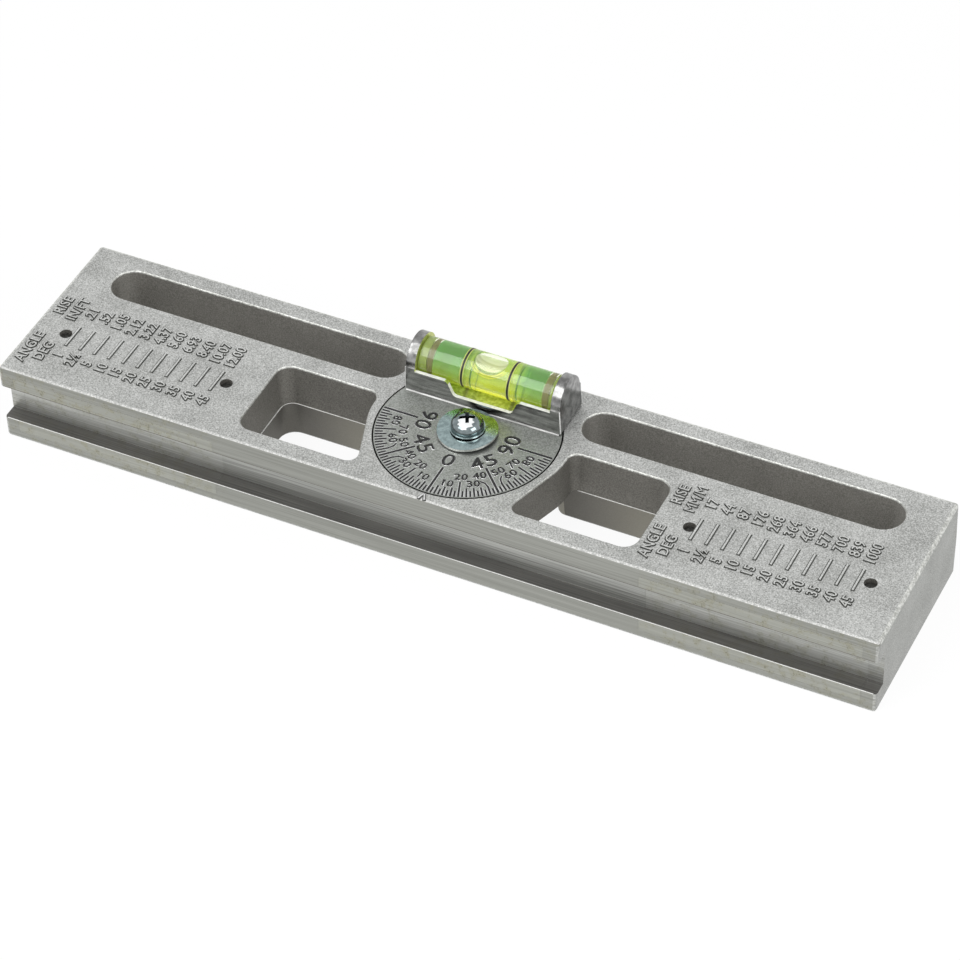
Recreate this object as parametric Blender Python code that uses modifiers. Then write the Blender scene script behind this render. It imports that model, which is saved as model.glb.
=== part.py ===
"""A magnetic protractor level: a cast frame with a grooved magnetic edge and a turning dial with a vial.

X runs along the frame, -Y is the grooved magnetic edge, +Z is the side with the dial.
The frame lies on its plain back at Z = 0, centred on X and Y. Everything is in metres.
"""
import math

import bmesh
import bpy
from mathutils import Matrix, Vector

MM = 0.001

# Fits that several pieces share
CLEARANCE = 0.3 * MM
OVERRUN = 2.0 * MM
WELD = 0.003 * MM

# Frame casting, whose draughts run out from a parting line at half its thickness
LENGTH = 228.6 * MM
WIDTH = 50.8 * MM
THICKNESS = 22.2 * MM
BACK_LEAN = 0.5 * MM
EDGE_ROUND = 0.8 * MM
GROOVE_HEIGHT = 10.3 * MM
GROOVE_DEPTH = 4.1 * MM
UPPER_DRAFT = 0.5 * MM
LOWER_DRAFT = 1.3 * MM
PARTING_LEDGE = 0.3 * MM
PARTING_LAP = 0.2 * MM
RIM_ROUND = 0.6 * MM
RIM_LAP = 0.12 * MM
PARTING = THICKNESS / 2
GROOVE_LOW = PARTING - GROOVE_HEIGHT / 2
GROOVE_HIGH = PARTING + GROOVE_HEIGHT / 2

# Dial and the web that it turns on
DIAL_EDGE = 3.0 * MM
DIAL_THICKNESS = 3.2 * MM
DIAL_GAP = 0.4 * MM
DIAL_WEB = 3.3 * MM
DIAL_WALL = 2.8 * MM
DIAL_RADIUS = WIDTH / 2 - DIAL_EDGE
DIAL_BOTTOM = THICKNESS - DIAL_THICKNESS
RECESS_FLOOR = DIAL_BOTTOM - CLEARANCE
WEB_BOTTOM = RECESS_FLOOR - DIAL_WEB

# Long slots along the back rail, sized at the parting line
BACK_RAIL = 5.9 * MM
SLOT_WIDTH = 9.8 * MM
SLOT_SETBACK = 1.6 * MM
SLOT_END_WALL = 10.1 * MM
SLOT_INNER = DIAL_RADIUS + SLOT_SETBACK
SLOT_BACK = WIDTH / 2 - BACK_RAIL
SLOT_FRONT = SLOT_BACK - SLOT_WIDTH

# Windows beside the dial, sized at the parting line
FRONT_RAIL = 5.7 * MM
RIB = 6.2 * MM
WINDOW_OUTER = 51.2 * MM
WINDOW_CORNER = 3.2 * MM
WINDOW_INNER_CORNER = 2.0 * MM
WINDOW_BEND_ROUND = 18.0 * MM
WINDOW_BEND_DROP = 6.1 * MM
WINDOW_BEND_LEAN = 0.3 * MM
WINDOW_FOOT_LEAN = 5.8 * MM
WINDOW_BACK = SLOT_FRONT - RIB
WINDOW_FRONT = FRONT_RAIL - WIDTH / 2
WINDOW_BEND_X = DIAL_RADIUS + DIAL_GAP + DIAL_WALL
WINDOW_BEND_Y = WINDOW_BACK - WINDOW_BEND_DROP

# Pocket in the back that joins the windows under the dial
POCKET_EDGE = 2.0 * MM
POCKET_BLEND = 3.8 * MM
WEB_POCKET_EDGE = 3.4 * MM
POCKET_RADIUS = DIAL_RADIUS - POCKET_EDGE
WEB_POCKET_RADIUS = DIAL_RADIUS - WEB_POCKET_EDGE

# Pivot screw and its boss
SCREW_RADIUS = 2.1 * MM
SCREW_HEAD_RADIUS = 4.0 * MM
SCREW_HEAD_SIDE = 1.3 * MM
SCREW_HEAD_HEIGHT = 2.6 * MM
SCREW_TIP = 8.0 * MM
CROSS_LENGTH = 4.4 * MM
CROSS_WIDTH = 1.0 * MM
CROSS_DEPTH = 1.7 * MM
CROSS_FOOT_SHARE = 0.45
CROSS_TURN = math.radians(26)
BOSS_RADIUS = 6.0 * MM
BOSS_BOTTOM = 5.0 * MM
BORE_GAP = 0.4 * MM

# Spring washer, bent about one line, and the small washer under the screw head
SPRING_RADIUS = 7.35 * MM
SPRING_SHEET = 0.6 * MM
SPRING_RISE = 0.6 * MM
SPRING_RIDGE_ANGLE = math.radians(-20)
HEAD_WASHER_RADIUS = 4.3 * MM
HEAD_WASHER_SHEET = 0.4 * MM
SPRING_FOOT = THICKNESS + CLEARANCE
HEAD_WASHER_BOTTOM = SPRING_FOOT + SPRING_RISE + SPRING_SHEET + CLEARANCE
HEAD_BOTTOM = HEAD_WASHER_BOTTOM + HEAD_WASHER_SHEET + CLEARANCE

# Magnets, pole plates and pins in the grooved edge
SEAT_WINDOW_WALL = 4.3 * MM
SEAT_END_WALL = 3.8 * MM
SEAT_DEPTH = 20.4 * MM
PLATE_SHEET = 3.2 * MM
MAGNET_DEPTH = 10.4 * MM
PIN_RADIUS = 1.3 * MM
PIN_INSET = 5.2 * MM
PIN_SET = 17.4 * MM
PIN_RECESS = 1.2 * MM
PIN_FLOOR = 1.2 * MM
SEAT_INNER = WINDOW_OUTER + SEAT_WINDOW_WALL
SEAT_OUTER = LENGTH / 2 - SEAT_END_WALL
PIN_Y = PIN_SET - WIDTH / 2

# Vial
VIAL_RADIUS = 4.8 * MM
VIAL_WALL = 0.9 * MM
VIAL_LENGTH = 35.0 * MM
VIAL_HEIGHT = 7.0 * MM
RING_PLACE = 6.05 * MM
RING_WIDTH = 0.4 * MM
RING_SHEET = 0.2 * MM
CAP_LENGTHS = {"left": 1.9 * MM, "right": 0.9 * MM}
SEAL_LENGTHS = {"left": 1.1 * MM, "right": 1.4 * MM}
BUBBLE_LENGTH = 8.0 * MM
BUBBLE_WIDTH = 5.6 * MM
BUBBLE_DEPTH = 1.7 * MM
VIAL_Z = THICKNESS + VIAL_HEIGHT
CONTENT_RADIUS = VIAL_RADIUS - VIAL_WALL - CLEARANCE

# Vial housing, one casting with the dial
HOUSING_WALL = 0.9 * MM
HOUSING_SETBACK = 0.65 * MM
CHEEK_SHEET = 2.8 * MM
CHEEK_LEAN = 0.4 * MM
CHEEK_STEP = 0.4 * MM
CHEEK_ROUND = 0.4 * MM
FOOT_FILLET = 0.8 * MM
FILLET_LAP = 0.06 * MM
SEAT_LAP = 0.6 * MM
WALL_DROP = 0.8 * MM
NOTCH_FOOT = 15.2 * MM
NOTCH_MOUTH = 18.6 * MM
NOTCH_ROUND = 1.2 * MM
NOTCH_SILL = 0.25 * MM
TROUGH_HALF = VIAL_RADIUS + CLEARANCE
TROUGH_FLOOR = VIAL_Z - TROUGH_HALF
TROUGH_END = VIAL_LENGTH / 2 + CLEARANCE
HOUSING_LENGTH = 2 * (TROUGH_END + CHEEK_SHEET)
HOUSING_FRONT = SPRING_RADIUS + HOUSING_SETBACK
VIAL_Y = HOUSING_FRONT + HOUSING_WALL + TROUGH_HALF
HOUSING_BACK = VIAL_Y + TROUGH_HALF + HOUSING_WALL
HOUSING_BOTTOM = THICKNESS + CLEARANCE
CHEEK_RADIUS = (HOUSING_BACK - HOUSING_FRONT) / 2 - CHEEK_STEP
WALL_TOP = VIAL_Z - WALL_DROP
NOTCH_FLOOR = TROUGH_FLOOR + NOTCH_SILL

# Facets
FLAT_ANGLE = math.radians(0.5)
ARC_STEPS = 6
RIM_STEPS = 3
DIAL_SIDES = 96
ROUND_SIDES = 32
SMALL_SIDES = 20

# A profile drawn in local X and Y stands across the frame, or along it
ACROSS_X = Matrix(((0, 0, 1, 0), (1, 0, 0, 0), (0, 1, 0, 0), (0, 0, 0, 1)))
ACROSS_Y = Matrix(((1, 0, 0, 0), (0, 0, -1, 0), (0, 1, 0, 0), (0, 0, 0, 1)))

VIAL_AXIS = Matrix.Translation((0, VIAL_Y, VIAL_Z)) @ ACROSS_X

SIDES = {"left": -1, "right": 1}


def clear_scene():
    for item in list(bpy.data.objects):
        bpy.data.objects.remove(item, do_unlink=True)


def new_collection(name):
    collection = bpy.data.collections.new(name)
    bpy.context.scene.collection.children.link(collection)
    return collection


def new_material(name, colour, roughness, metallic, transmission=0.0):
    material = bpy.data.materials.new(name)
    material.use_nodes = True
    shader = material.node_tree.nodes["Principled BSDF"]
    shader.inputs["Base Color"].default_value = (*colour, 1.0)
    shader.inputs["Roughness"].default_value = roughness
    shader.inputs["Metallic"].default_value = metallic
    shader.inputs["Transmission Weight"].default_value = transmission
    return material


def arc(centre, radius, start, end, steps=ARC_STEPS):
    """Points on an arc from the angle start to the angle end, both in degrees and both kept."""
    angles = [math.radians(start + (end - start) * step / steps) for step in range(steps + 1)]
    return [(centre[0] + radius * math.cos(a), centre[1] + radius * math.sin(a)) for a in angles]


def rounded(corners, steps=ARC_STEPS):
    """An outline through corners of (x, y, radius), each turned by an arc that touches both its sides."""
    outline = []
    for index, (x, y, radius) in enumerate(corners):
        here = Vector((x, y))
        before = (Vector(corners[index - 1][:2]) - here).normalized()
        after = (Vector(corners[(index + 1) % len(corners)][:2]) - here).normalized()
        half = before.angle(after) / 2
        centre = here + (before + after).normalized() * radius / math.sin(half)
        reach = radius / math.tan(half)
        first = here + before * reach - centre
        turn = first.angle_signed(here + after * reach - centre)
        for step in range(steps + 1):
            spoke = Matrix.Rotation(-turn * step / steps, 2) @ first
            outline.append(tuple(centre + spoke))
    return outline


def add_object(name, mesh, collection):
    item = bpy.data.objects.new(name, mesh)
    collection.objects.link(item)
    return item


def smooth(item, degrees=30):
    item.data.shade_smooth()
    item.data.set_sharp_from_angle(angle=math.radians(degrees))


def as_mesh(drawn, collection, whole_faces=False):
    """Turns a curve or a modified object into the mesh that it shows, welded, in its place."""
    name = drawn.name
    bpy.context.view_layer.update()
    evaluated = drawn.evaluated_get(bpy.context.evaluated_depsgraph_get())
    mesh = bpy.data.meshes.new_from_object(evaluated)
    mesh.transform(drawn.matrix_world)
    bpy.data.objects.remove(drawn)
    work = bmesh.new()
    work.from_mesh(mesh)
    bmesh.ops.remove_doubles(work, verts=work.verts, dist=WELD)
    if whole_faces:
        bmesh.ops.dissolve_limit(work, angle_limit=FLAT_ANGLE, verts=work.verts, edges=work.edges)
    bmesh.ops.recalc_face_normals(work, faces=work.faces)
    work.to_mesh(mesh)
    work.free()
    mesh.name = name
    return add_object(name, mesh, collection)


def outline_solid(name, outline, low, high, collection, turn=Matrix()):
    """The solid that a flat outline sweeps between two heights, then turned."""
    curve = bpy.data.curves.new(name, "CURVE")
    curve.dimensions = "2D"
    curve.fill_mode = "BOTH"
    curve.extrude = (high - low) / 2
    spline = curve.splines.new("POLY")
    spline.points.add(len(outline) - 1)
    for point, (x, y) in zip(spline.points, outline):
        point.co = (x, y, 0, 1)
    spline.use_cyclic_u = True
    drawn = add_object(name, curve, collection)
    drawn.matrix_world = turn @ Matrix.Translation((0, 0, (low + high) / 2))
    return as_mesh(drawn, collection, whole_faces=True)


def drafted(name, outline_at, levels, collection):
    """A solid through several heights, whose outline at a height z is outline_at(z)."""
    work = bmesh.new()
    caps = [work.faces.new([work.verts.new((x, y, z)) for x, y in outline_at(z)]) for z in levels]
    for lower, upper in zip(caps, caps[1:]):
        bmesh.ops.bridge_loops(work, edges=list(lower.edges) + list(upper.edges))
    bmesh.ops.delete(work, geom=caps[1:-1], context="FACES_ONLY")
    bmesh.ops.recalc_face_normals(work, faces=work.faces)
    mesh = bpy.data.meshes.new(name)
    work.to_mesh(mesh)
    work.free()
    return add_object(name, mesh, collection)


def box(name, low, high, collection):
    """A box between two opposite corners."""
    work = bmesh.new()
    bmesh.ops.create_cube(work, size=1)
    bmesh.ops.scale(work, vec=Vector(high) - Vector(low), verts=work.verts)
    bmesh.ops.translate(work, vec=(Vector(high) + Vector(low)) / 2, verts=work.verts)
    mesh = bpy.data.meshes.new(name)
    work.to_mesh(mesh)
    work.free()
    return add_object(name, mesh, collection)


def rod(name, radius, low, high, collection, centre=(0, 0), sides=ROUND_SIDES, turn=Matrix()):
    """A round rod between two heights, then turned."""
    work = bmesh.new()
    bmesh.ops.create_cone(work, cap_ends=True, segments=sides, radius1=radius, radius2=radius,
                          depth=high - low)
    bmesh.ops.translate(work, vec=(*centre, (low + high) / 2), verts=work.verts)
    bmesh.ops.transform(work, matrix=turn, verts=work.verts)
    mesh = bpy.data.meshes.new(name)
    work.to_mesh(mesh)
    work.free()
    item = add_object(name, mesh, collection)
    smooth(item)
    return item


def revolved(name, profile, collection, closed=False, turn=Matrix()):
    """A solid of revolution, from a profile of (radius, height) that runs down its outer side."""
    work = bmesh.new()
    verts = [work.verts.new((radius, 0, height)) for radius, height in profile]
    for first, second in zip(verts, verts[1:] + verts[:1] if closed else verts[1:]):
        work.edges.new((first, second))
    mesh = bpy.data.meshes.new(name)
    work.to_mesh(mesh)
    work.free()
    item = add_object(name, mesh, collection)
    screw = item.modifiers.new("turn", "SCREW")
    screw.steps = ROUND_SIDES
    screw.render_steps = ROUND_SIDES
    screw.use_merge_vertices = True
    screw.merge_threshold = WELD
    item.matrix_world = turn
    solid = as_mesh(item, collection)
    smooth(solid)
    return solid


def combine(item, others, operation):
    """Cuts the other objects out of an item, or joins them to it."""
    for other in others:
        step = item.modifiers.new(other.name, "BOOLEAN")
        step.operation = operation
        step.object = other
        step.solver = "EXACT"
        other.hide_render = True
        other.display_type = "WIRE"


def bevel_edges(item, width, segments, wanted):
    """Rounds the edges for whose two ends wanted is true."""
    work = bmesh.new()
    work.from_mesh(item.data)
    edges = [edge for edge in work.edges if wanted(edge.verts[0].co, edge.verts[1].co)]
    bmesh.ops.bevel(work, geom=edges, offset=width, segments=segments, profile=0.5, affect="EDGES",
                    clamp_overlap=True)
    work.to_mesh(item.data)
    work.free()


def near(first, second):
    return abs(first - second) < WELD


def rim_depths():
    """Depths below the top of a rounded rim at which its facets meet, from its foot up."""
    return [RIM_ROUND * (1 - math.sin(math.radians(90 * step / RIM_STEPS))) for step in range(RIM_STEPS + 1)]


def rim_growth(depth):
    """How far a rounded rim has opened out at a depth below its top."""
    reach = min(max(RIM_ROUND - depth, 0), RIM_ROUND)
    return RIM_ROUND - math.sqrt(RIM_ROUND ** 2 - reach ** 2)


def upper_growth(height):
    """How far an opening above the parting line has opened out at a height."""
    return UPPER_DRAFT * (height - PARTING) / PARTING + rim_growth(THICKNESS + RIM_LAP - height)


def lower_growth(height):
    """How far an opening below the parting line has opened out at a height, past its small ledge."""
    return LOWER_DRAFT * (PARTING - height) / PARTING - PARTING_LEDGE + rim_growth(height + RIM_LAP)


def frame_blank(collection):
    """The frame's section, groove included, drawn out along its length, with its cast edges rounded."""
    front = -WIDTH / 2
    back = WIDTH / 2
    section = [(front, 0), (back - BACK_LEAN, 0), (back, PARTING), (back - BACK_LEAN, THICKNESS),
               (front, THICKNESS), (front, GROOVE_HIGH), (front + GROOVE_DEPTH, GROOVE_HIGH),
               (front + GROOVE_DEPTH, GROOVE_LOW), (front, GROOVE_LOW)]
    blank = outline_solid("body_casting", section, -LENGTH / 2, LENGTH / 2, collection, ACROSS_X)

    def is_cast_edge(first, second):
        """The long edges of both faces, and each end's outline apart from the groove."""
        on_end = near(first.x, second.x) and near(abs(first.x), LENGTH / 2)
        in_groove = all(GROOVE_LOW - WELD < point.z < GROOVE_HIGH + WELD and point.y < 0
                        for point in (first, second))
        along = near(first.y, second.y) and near(first.z, second.z)
        return (on_end and not in_groove) or (along and (near(first.z, 0) or near(first.z, THICKNESS)))

    bevel_edges(blank, EDGE_ROUND, 2, is_cast_edge)
    return blank


def window_outline(side, growth):
    """A window above the parting line: its dial side stands upright, then leans away towards the groove."""
    bend = WINDOW_BEND_X - growth
    back = WINDOW_BACK + growth
    front = WINDOW_FRONT - growth
    outer = WINDOW_OUTER + growth
    corners = [(bend + WINDOW_BEND_LEAN, back, WINDOW_INNER_CORNER + growth),
               (bend, WINDOW_BEND_Y, WINDOW_BEND_ROUND - growth),
               (bend - WINDOW_FOOT_LEAN, front, WINDOW_INNER_CORNER + growth),
               (outer, front, WINDOW_CORNER + growth),
               (outer, back, WINDOW_CORNER + growth)]
    return [(side * x, y) for x, y in rounded(corners)]


def pocket_outline(growth):
    """Below the parting line both windows run into one round pocket under the dial."""
    back = WINDOW_BACK + growth
    front = WINDOW_FRONT - growth
    outer = WINDOW_OUTER + growth
    corner = WINDOW_CORNER + growth
    radius = POCKET_RADIUS + growth
    blend = POCKET_BLEND - growth
    blend_y = back + blend
    blend_x = math.sqrt((radius + blend) ** 2 - blend_y ** 2)
    lean = math.degrees(math.atan2(blend_y, blend_x))
    half = arc((outer - corner, front + corner), corner, -90, 0)
    half += arc((outer - corner, back - corner), corner, 0, 90)
    half += arc((blend_x, blend_y), blend, 270, 180 + lean)
    half += arc((0, 0), radius, lean, 90, 2 * ARC_STEPS)[1:]
    return half + [(-x, y) for x, y in reversed(half[:-1])]


def slot_outline(side, growth):
    """A long slot with full round ends."""
    radius = SLOT_WIDTH / 2 + growth
    middle = (SLOT_BACK + SLOT_FRONT) / 2
    inner = SLOT_INNER + SLOT_WIDTH / 2
    outer = LENGTH / 2 - SLOT_END_WALL - SLOT_WIDTH / 2
    ends = arc((outer, middle), radius, -90, 90, 2 * ARC_STEPS)
    ends += arc((inner, middle), radius, 90, 270, 2 * ARC_STEPS)
    return [(side * x, y) for x, y in ends]


def on_side(side, low, high):
    """Two corners of a box on the right, mirrored for the left."""
    if side > 0:
        return low, high
    return (-high[0], *low[1:]), (-low[0], *high[1:])


def pin_places(side):
    """The two pins of a magnet seat, as name and X."""
    return {"inner": side * (SEAT_INNER + PIN_INSET), "outer": side * (SEAT_OUTER - PIN_INSET)}


def body_casting(parts, cutters):
    """The frame: slots, windows, dial recess over a pocket with a boss, and the magnet seats."""
    body = frame_blank(parts)
    above = THICKNESS + OVERRUN
    upper_foot = PARTING - PARTING_LAP
    upper_levels = [upper_foot, *(THICKNESS + RIM_LAP - depth for depth in rim_depths()), above]
    lower_levels = [PARTING, *(depth - RIM_LAP for depth in rim_depths()), -OVERRUN]
    cuts = [drafted("pocket_cut", lambda z: pocket_outline(lower_growth(z)), lower_levels, cutters)]
    for name, side in SIDES.items():
        def window(z):
            return window_outline(side, upper_growth(z))

        def slot_above(z):
            return slot_outline(side, upper_growth(z))

        def slot_below(z):
            return slot_outline(side, lower_growth(z))

        cuts.append(drafted(f"window_cut_{name}", window, upper_levels, cutters))
        cuts.append(drafted(f"slot_upper_cut_{name}", slot_above, upper_levels, cutters))
        cuts.append(drafted(f"slot_lower_cut_{name}", slot_below, lower_levels, cutters))
        low = (SEAT_INNER, -WIDTH / 2 - OVERRUN, GROOVE_LOW - PLATE_SHEET - CLEARANCE)
        high = (SEAT_OUTER, -WIDTH / 2 + SEAT_DEPTH, GROOVE_HIGH + PLATE_SHEET + CLEARANCE)
        cuts.append(box(f"seat_cut_{name}", *on_side(side, low, high), cutters))
        for spot, x in pin_places(side).items():
            cuts.append(rod(f"pin_cut_{name}_{spot}", PIN_RADIUS + CLEARANCE, PIN_FLOOR - CLEARANCE, above,
                            cutters, (x, PIN_Y), SMALL_SIDES))
    cuts.append(rod("recess_cut", DIAL_RADIUS + DIAL_GAP, RECESS_FLOOR, above, cutters, sides=DIAL_SIDES))
    cuts.append(rod("web_cut", WEB_POCKET_RADIUS, upper_foot, WEB_BOTTOM, cutters, sides=DIAL_SIDES // 2))
    combine(body, cuts, "DIFFERENCE")
    boss = rod("boss", BOSS_RADIUS, BOSS_BOTTOM, WEB_BOTTOM + DIAL_WEB / 2, cutters)
    combine(body, [boss], "UNION")
    bore = rod("bore_cut", SCREW_RADIUS + CLEARANCE, SCREW_TIP - CLEARANCE, above, cutters, sides=SMALL_SIDES)
    combine(body, [bore], "DIFFERENCE")
    return body


def magnets(parts):
    """A bar magnet fills each seat between the pole plates, its face at the floor of the groove."""
    made = []
    front = GROOVE_DEPTH - WIDTH / 2
    low = (SEAT_INNER + CLEARANCE, front, GROOVE_LOW + CLEARANCE)
    high = (SEAT_OUTER - CLEARANCE, front + MAGNET_DEPTH, GROOVE_HIGH - CLEARANCE)
    for name, side in SIDES.items():
        made.append(box(f"magnet_{name}", *on_side(side, low, high), parts))
    return made


def pole_plates(parts, cutters):
    """A steel plate above and below each magnet, flush with the grooved edge, that the pins pass through."""
    made = []
    levels = {"lower": GROOVE_LOW - PLATE_SHEET, "upper": GROOVE_HIGH}
    for name, side in SIDES.items():
        for level, bottom in levels.items():
            top = bottom + PLATE_SHEET
            low = (SEAT_INNER + CLEARANCE, -WIDTH / 2, bottom)
            high = (SEAT_OUTER - CLEARANCE, SEAT_DEPTH - CLEARANCE - WIDTH / 2, top)
            plate = box(f"pole_plate_{name}_{level}", *on_side(side, low, high), parts)
            holes = [rod(f"plate_cut_{name}_{level}_{spot}", PIN_RADIUS + CLEARANCE, bottom - OVERRUN,
                         top + OVERRUN, cutters, (x, PIN_Y), SMALL_SIDES)
                     for spot, x in pin_places(side).items()]
            combine(plate, holes, "DIFFERENCE")
            made.append(plate)
    return made


def magnet_pins(parts):
    """Pins from the graduated face down through both plates, their heads sunk in their holes."""
    return [rod(f"magnet_pin_{name}_{spot}", PIN_RADIUS, PIN_FLOOR, THICKNESS - PIN_RECESS, parts,
                (x, PIN_Y), SMALL_SIDES)
            for name, side in SIDES.items() for spot, x in pin_places(side).items()]


def pivot_screw(parts, cutters):
    """A pan head screw with a tapered cross recess, down through the washers and the dial into the boss."""
    top = HEAD_BOTTOM + SCREW_HEAD_HEIGHT
    side = HEAD_BOTTOM + SCREW_HEAD_SIDE
    rise = SCREW_HEAD_HEIGHT - SCREW_HEAD_SIDE
    slopes = [math.radians(90 * step / ARC_STEPS) for step in range(ARC_STEPS + 1)]
    dome = [(SCREW_HEAD_RADIUS * math.sin(a), side + rise * math.cos(a)) for a in slopes]
    shank = [(SCREW_HEAD_RADIUS, HEAD_BOTTOM), (SCREW_RADIUS, HEAD_BOTTOM), (SCREW_RADIUS, SCREW_TIP),
             (0, SCREW_TIP)]
    screw = revolved("pivot_screw", dome + shank, parts)

    def cross(z):
        """A plus sign whose bars are shorter at its foot."""
        rise_share = (z - top + CROSS_DEPTH) / CROSS_DEPTH
        reach = CROSS_LENGTH / 2 * (CROSS_FOOT_SHARE + (1 - CROSS_FOOT_SHARE) * rise_share)
        half = CROSS_WIDTH / 2
        arm = [(reach, -half), (reach, half), (half, half)]
        turns = (Matrix.Rotation(CROSS_TURN + math.radians(90 * quarter), 2) for quarter in range(4))
        return [tuple(turn @ Vector(point)) for turn in turns for point in arm]

    recess = drafted("cross_cut", cross, [top - CROSS_DEPTH, top + OVERRUN], cutters)
    combine(screw, [recess], "DIFFERENCE")
    return screw


def washer_profile(radius, foot, sheet):
    bore = SCREW_RADIUS + BORE_GAP
    middle = (radius + bore) / 2
    top = foot + sheet
    return [(bore, top), (middle, top), (radius, top), (radius, foot), (middle, foot), (bore, foot)]


def spring_washer(parts):
    """Bent about one line: it bears on the dial at two sides and carries the screw head on its ridge."""
    profile = washer_profile(SPRING_RADIUS, SPRING_FOOT, SPRING_SHEET)
    washer = revolved("spring_washer", profile, parts, closed=True)
    across = Vector((-math.sin(SPRING_RIDGE_ANGLE), math.cos(SPRING_RIDGE_ANGLE), 0))
    for vert in washer.data.vertices:
        vert.co.z += SPRING_RISE * (1 - (vert.co.dot(across) / SPRING_RADIUS) ** 2)
    return washer


def head_washer(parts):
    profile = washer_profile(HEAD_WASHER_RADIUS, HEAD_WASHER_BOTTOM, HEAD_WASHER_SHEET)
    return revolved("head_washer", profile, parts, closed=True)


def housing_seat(cutters):
    """What joins the housing to the disc: a riser under it, and a fillet along the foot of its front wall."""
    radius = DIAL_RADIUS - SEAT_LAP
    chord = HOUSING_FRONT + SEAT_LAP
    foot = THICKNESS - SEAT_LAP
    lean = math.degrees(math.asin(chord / radius))
    riser = outline_solid("riser", arc((0, 0), radius, lean, 180 - lean, 4 * ARC_STEPS), foot,
                          HOUSING_BOTTOM + SEAT_LAP, cutters)
    front = HOUSING_FRONT - FOOT_FILLET + FILLET_LAP
    top = THICKNESS + FOOT_FILLET - FILLET_LAP
    section = arc((front, top), FOOT_FILLET, -90, 0)
    section += [(chord + SEAT_LAP, top), (chord + SEAT_LAP, foot), (front, foot)]
    rim = math.sqrt(DIAL_RADIUS ** 2 - (chord + SEAT_LAP) ** 2)
    reach = min(HOUSING_LENGTH / 2 - CHEEK_ROUND, rim - DIAL_GAP / 2)
    return [riser, outline_solid("foot_fillet", section, -reach, reach, cutters, ACROSS_X)]


def housing_blank(collection):
    """The housing's section, upright walls under a round top, drawn out to cheeks that lean in a little."""
    section = [(HOUSING_FRONT, HOUSING_BOTTOM), (HOUSING_BACK, HOUSING_BOTTOM), (HOUSING_BACK, VIAL_Z)]
    section += arc((VIAL_Y, VIAL_Z), CHEEK_RADIUS, 0, 180, 3 * ARC_STEPS)
    section += [(HOUSING_FRONT, VIAL_Z)]
    half = HOUSING_LENGTH / 2
    blank = outline_solid("housing_blank", section, -half, half, collection, ACROSS_X)
    lean = CHEEK_LEAN / (VIAL_Z + CHEEK_RADIUS - HOUSING_BOTTOM)
    for vert in blank.data.vertices:
        vert.co.x -= math.copysign(lean * (vert.co.z - HOUSING_BOTTOM), vert.co.x)

    def is_cheek_edge(first, second):
        return near(abs(first.x) + lean * (first.z - HOUSING_BOTTOM), half) and first.x * second.x > 0

    bevel_edges(blank, CHEEK_ROUND, 2, is_cheek_edge)
    return blank


def trough_cuts(cutters):
    """The trough for the vial between the cheeks, and the space over its two low walls."""
    over = VIAL_Z + CHEEK_RADIUS + OVERRUN
    trough = box("trough_cut", (-TROUGH_END, VIAL_Y - TROUGH_HALF, TROUGH_FLOOR),
                 (TROUGH_END, VIAL_Y + TROUGH_HALF, over), cutters)
    above = box("wall_top_cut", (-TROUGH_END, HOUSING_FRONT - OVERRUN, WALL_TOP),
                (TROUGH_END, HOUSING_BACK + OVERRUN, over), cutters)
    return [trough, above]


def notch_cut(cutters):
    """The notch in both low walls that shows the middle of the vial, with rounded shoulders and foot."""
    foot = NOTCH_FOOT / 2
    mouth = NOTCH_MOUTH / 2
    slope = math.atan2(WALL_TOP - NOTCH_FLOOR, mouth - foot)
    reach = NOTCH_ROUND * math.tan(slope / 2)
    lean = 90 - math.degrees(slope)
    half = arc((foot - reach, NOTCH_FLOOR + NOTCH_ROUND), NOTCH_ROUND, -90, -lean)
    half += arc((mouth + reach, WALL_TOP - NOTCH_ROUND), NOTCH_ROUND, 180 - lean, 90)
    half += [(mouth + reach, WALL_TOP + OVERRUN)]
    section = half + [(-x, z) for x, z in reversed(half)]
    return outline_solid("notch_cut", section, -HOUSING_BACK - OVERRUN, OVERRUN - HOUSING_FRONT, cutters,
                         ACROSS_Y)


def dial_housing(parts, cutters):
    """The dial and the vial's housing, one casting that turns on the pivot screw."""
    dial = rod("dial_housing", DIAL_RADIUS, DIAL_BOTTOM, THICKNESS, parts, sides=DIAL_SIDES)
    combine(dial, [housing_blank(cutters), *housing_seat(cutters)], "UNION")
    bore = rod("dial_bore_cut", SCREW_RADIUS + BORE_GAP, DIAL_BOTTOM - OVERRUN, THICKNESS + OVERRUN, cutters,
               sides=SMALL_SIDES)
    combine(dial, [*trough_cuts(cutters), notch_cut(cutters), bore], "DIFFERENCE")
    return dial


def vial_tube(parts):
    """A clear tube with two shallow grooves for the ring marks."""
    end = VIAL_LENGTH / 2
    inner = VIAL_RADIUS - VIAL_WALL
    floor = VIAL_RADIUS - RING_SHEET - CLEARANCE
    reach = RING_WIDTH / 2 + CLEARANCE
    profile = [(inner, end), (VIAL_RADIUS, end)]
    for place in (RING_PLACE, -RING_PLACE):
        profile += [(VIAL_RADIUS, place + reach), (floor, place + reach), (floor, place - reach),
                    (VIAL_RADIUS, place - reach)]
    profile += [(VIAL_RADIUS, -end), (inner, -end)]
    return revolved("vial_tube", profile, parts, closed=True, turn=VIAL_AXIS)


def vial_rings(parts):
    made = []
    for name, side in SIDES.items():
        low = side * RING_PLACE - RING_WIDTH / 2
        high = low + RING_WIDTH
        inner = VIAL_RADIUS - RING_SHEET
        profile = [(inner, high), (VIAL_RADIUS, high), (VIAL_RADIUS, low), (inner, low)]
        made.append(revolved(f"vial_ring_{name}", profile, parts, closed=True, turn=VIAL_AXIS))
    return made


def vial_rod(name, low, high, collection):
    return rod(name, CONTENT_RADIUS, low, high, collection, turn=VIAL_AXIS)


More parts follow.
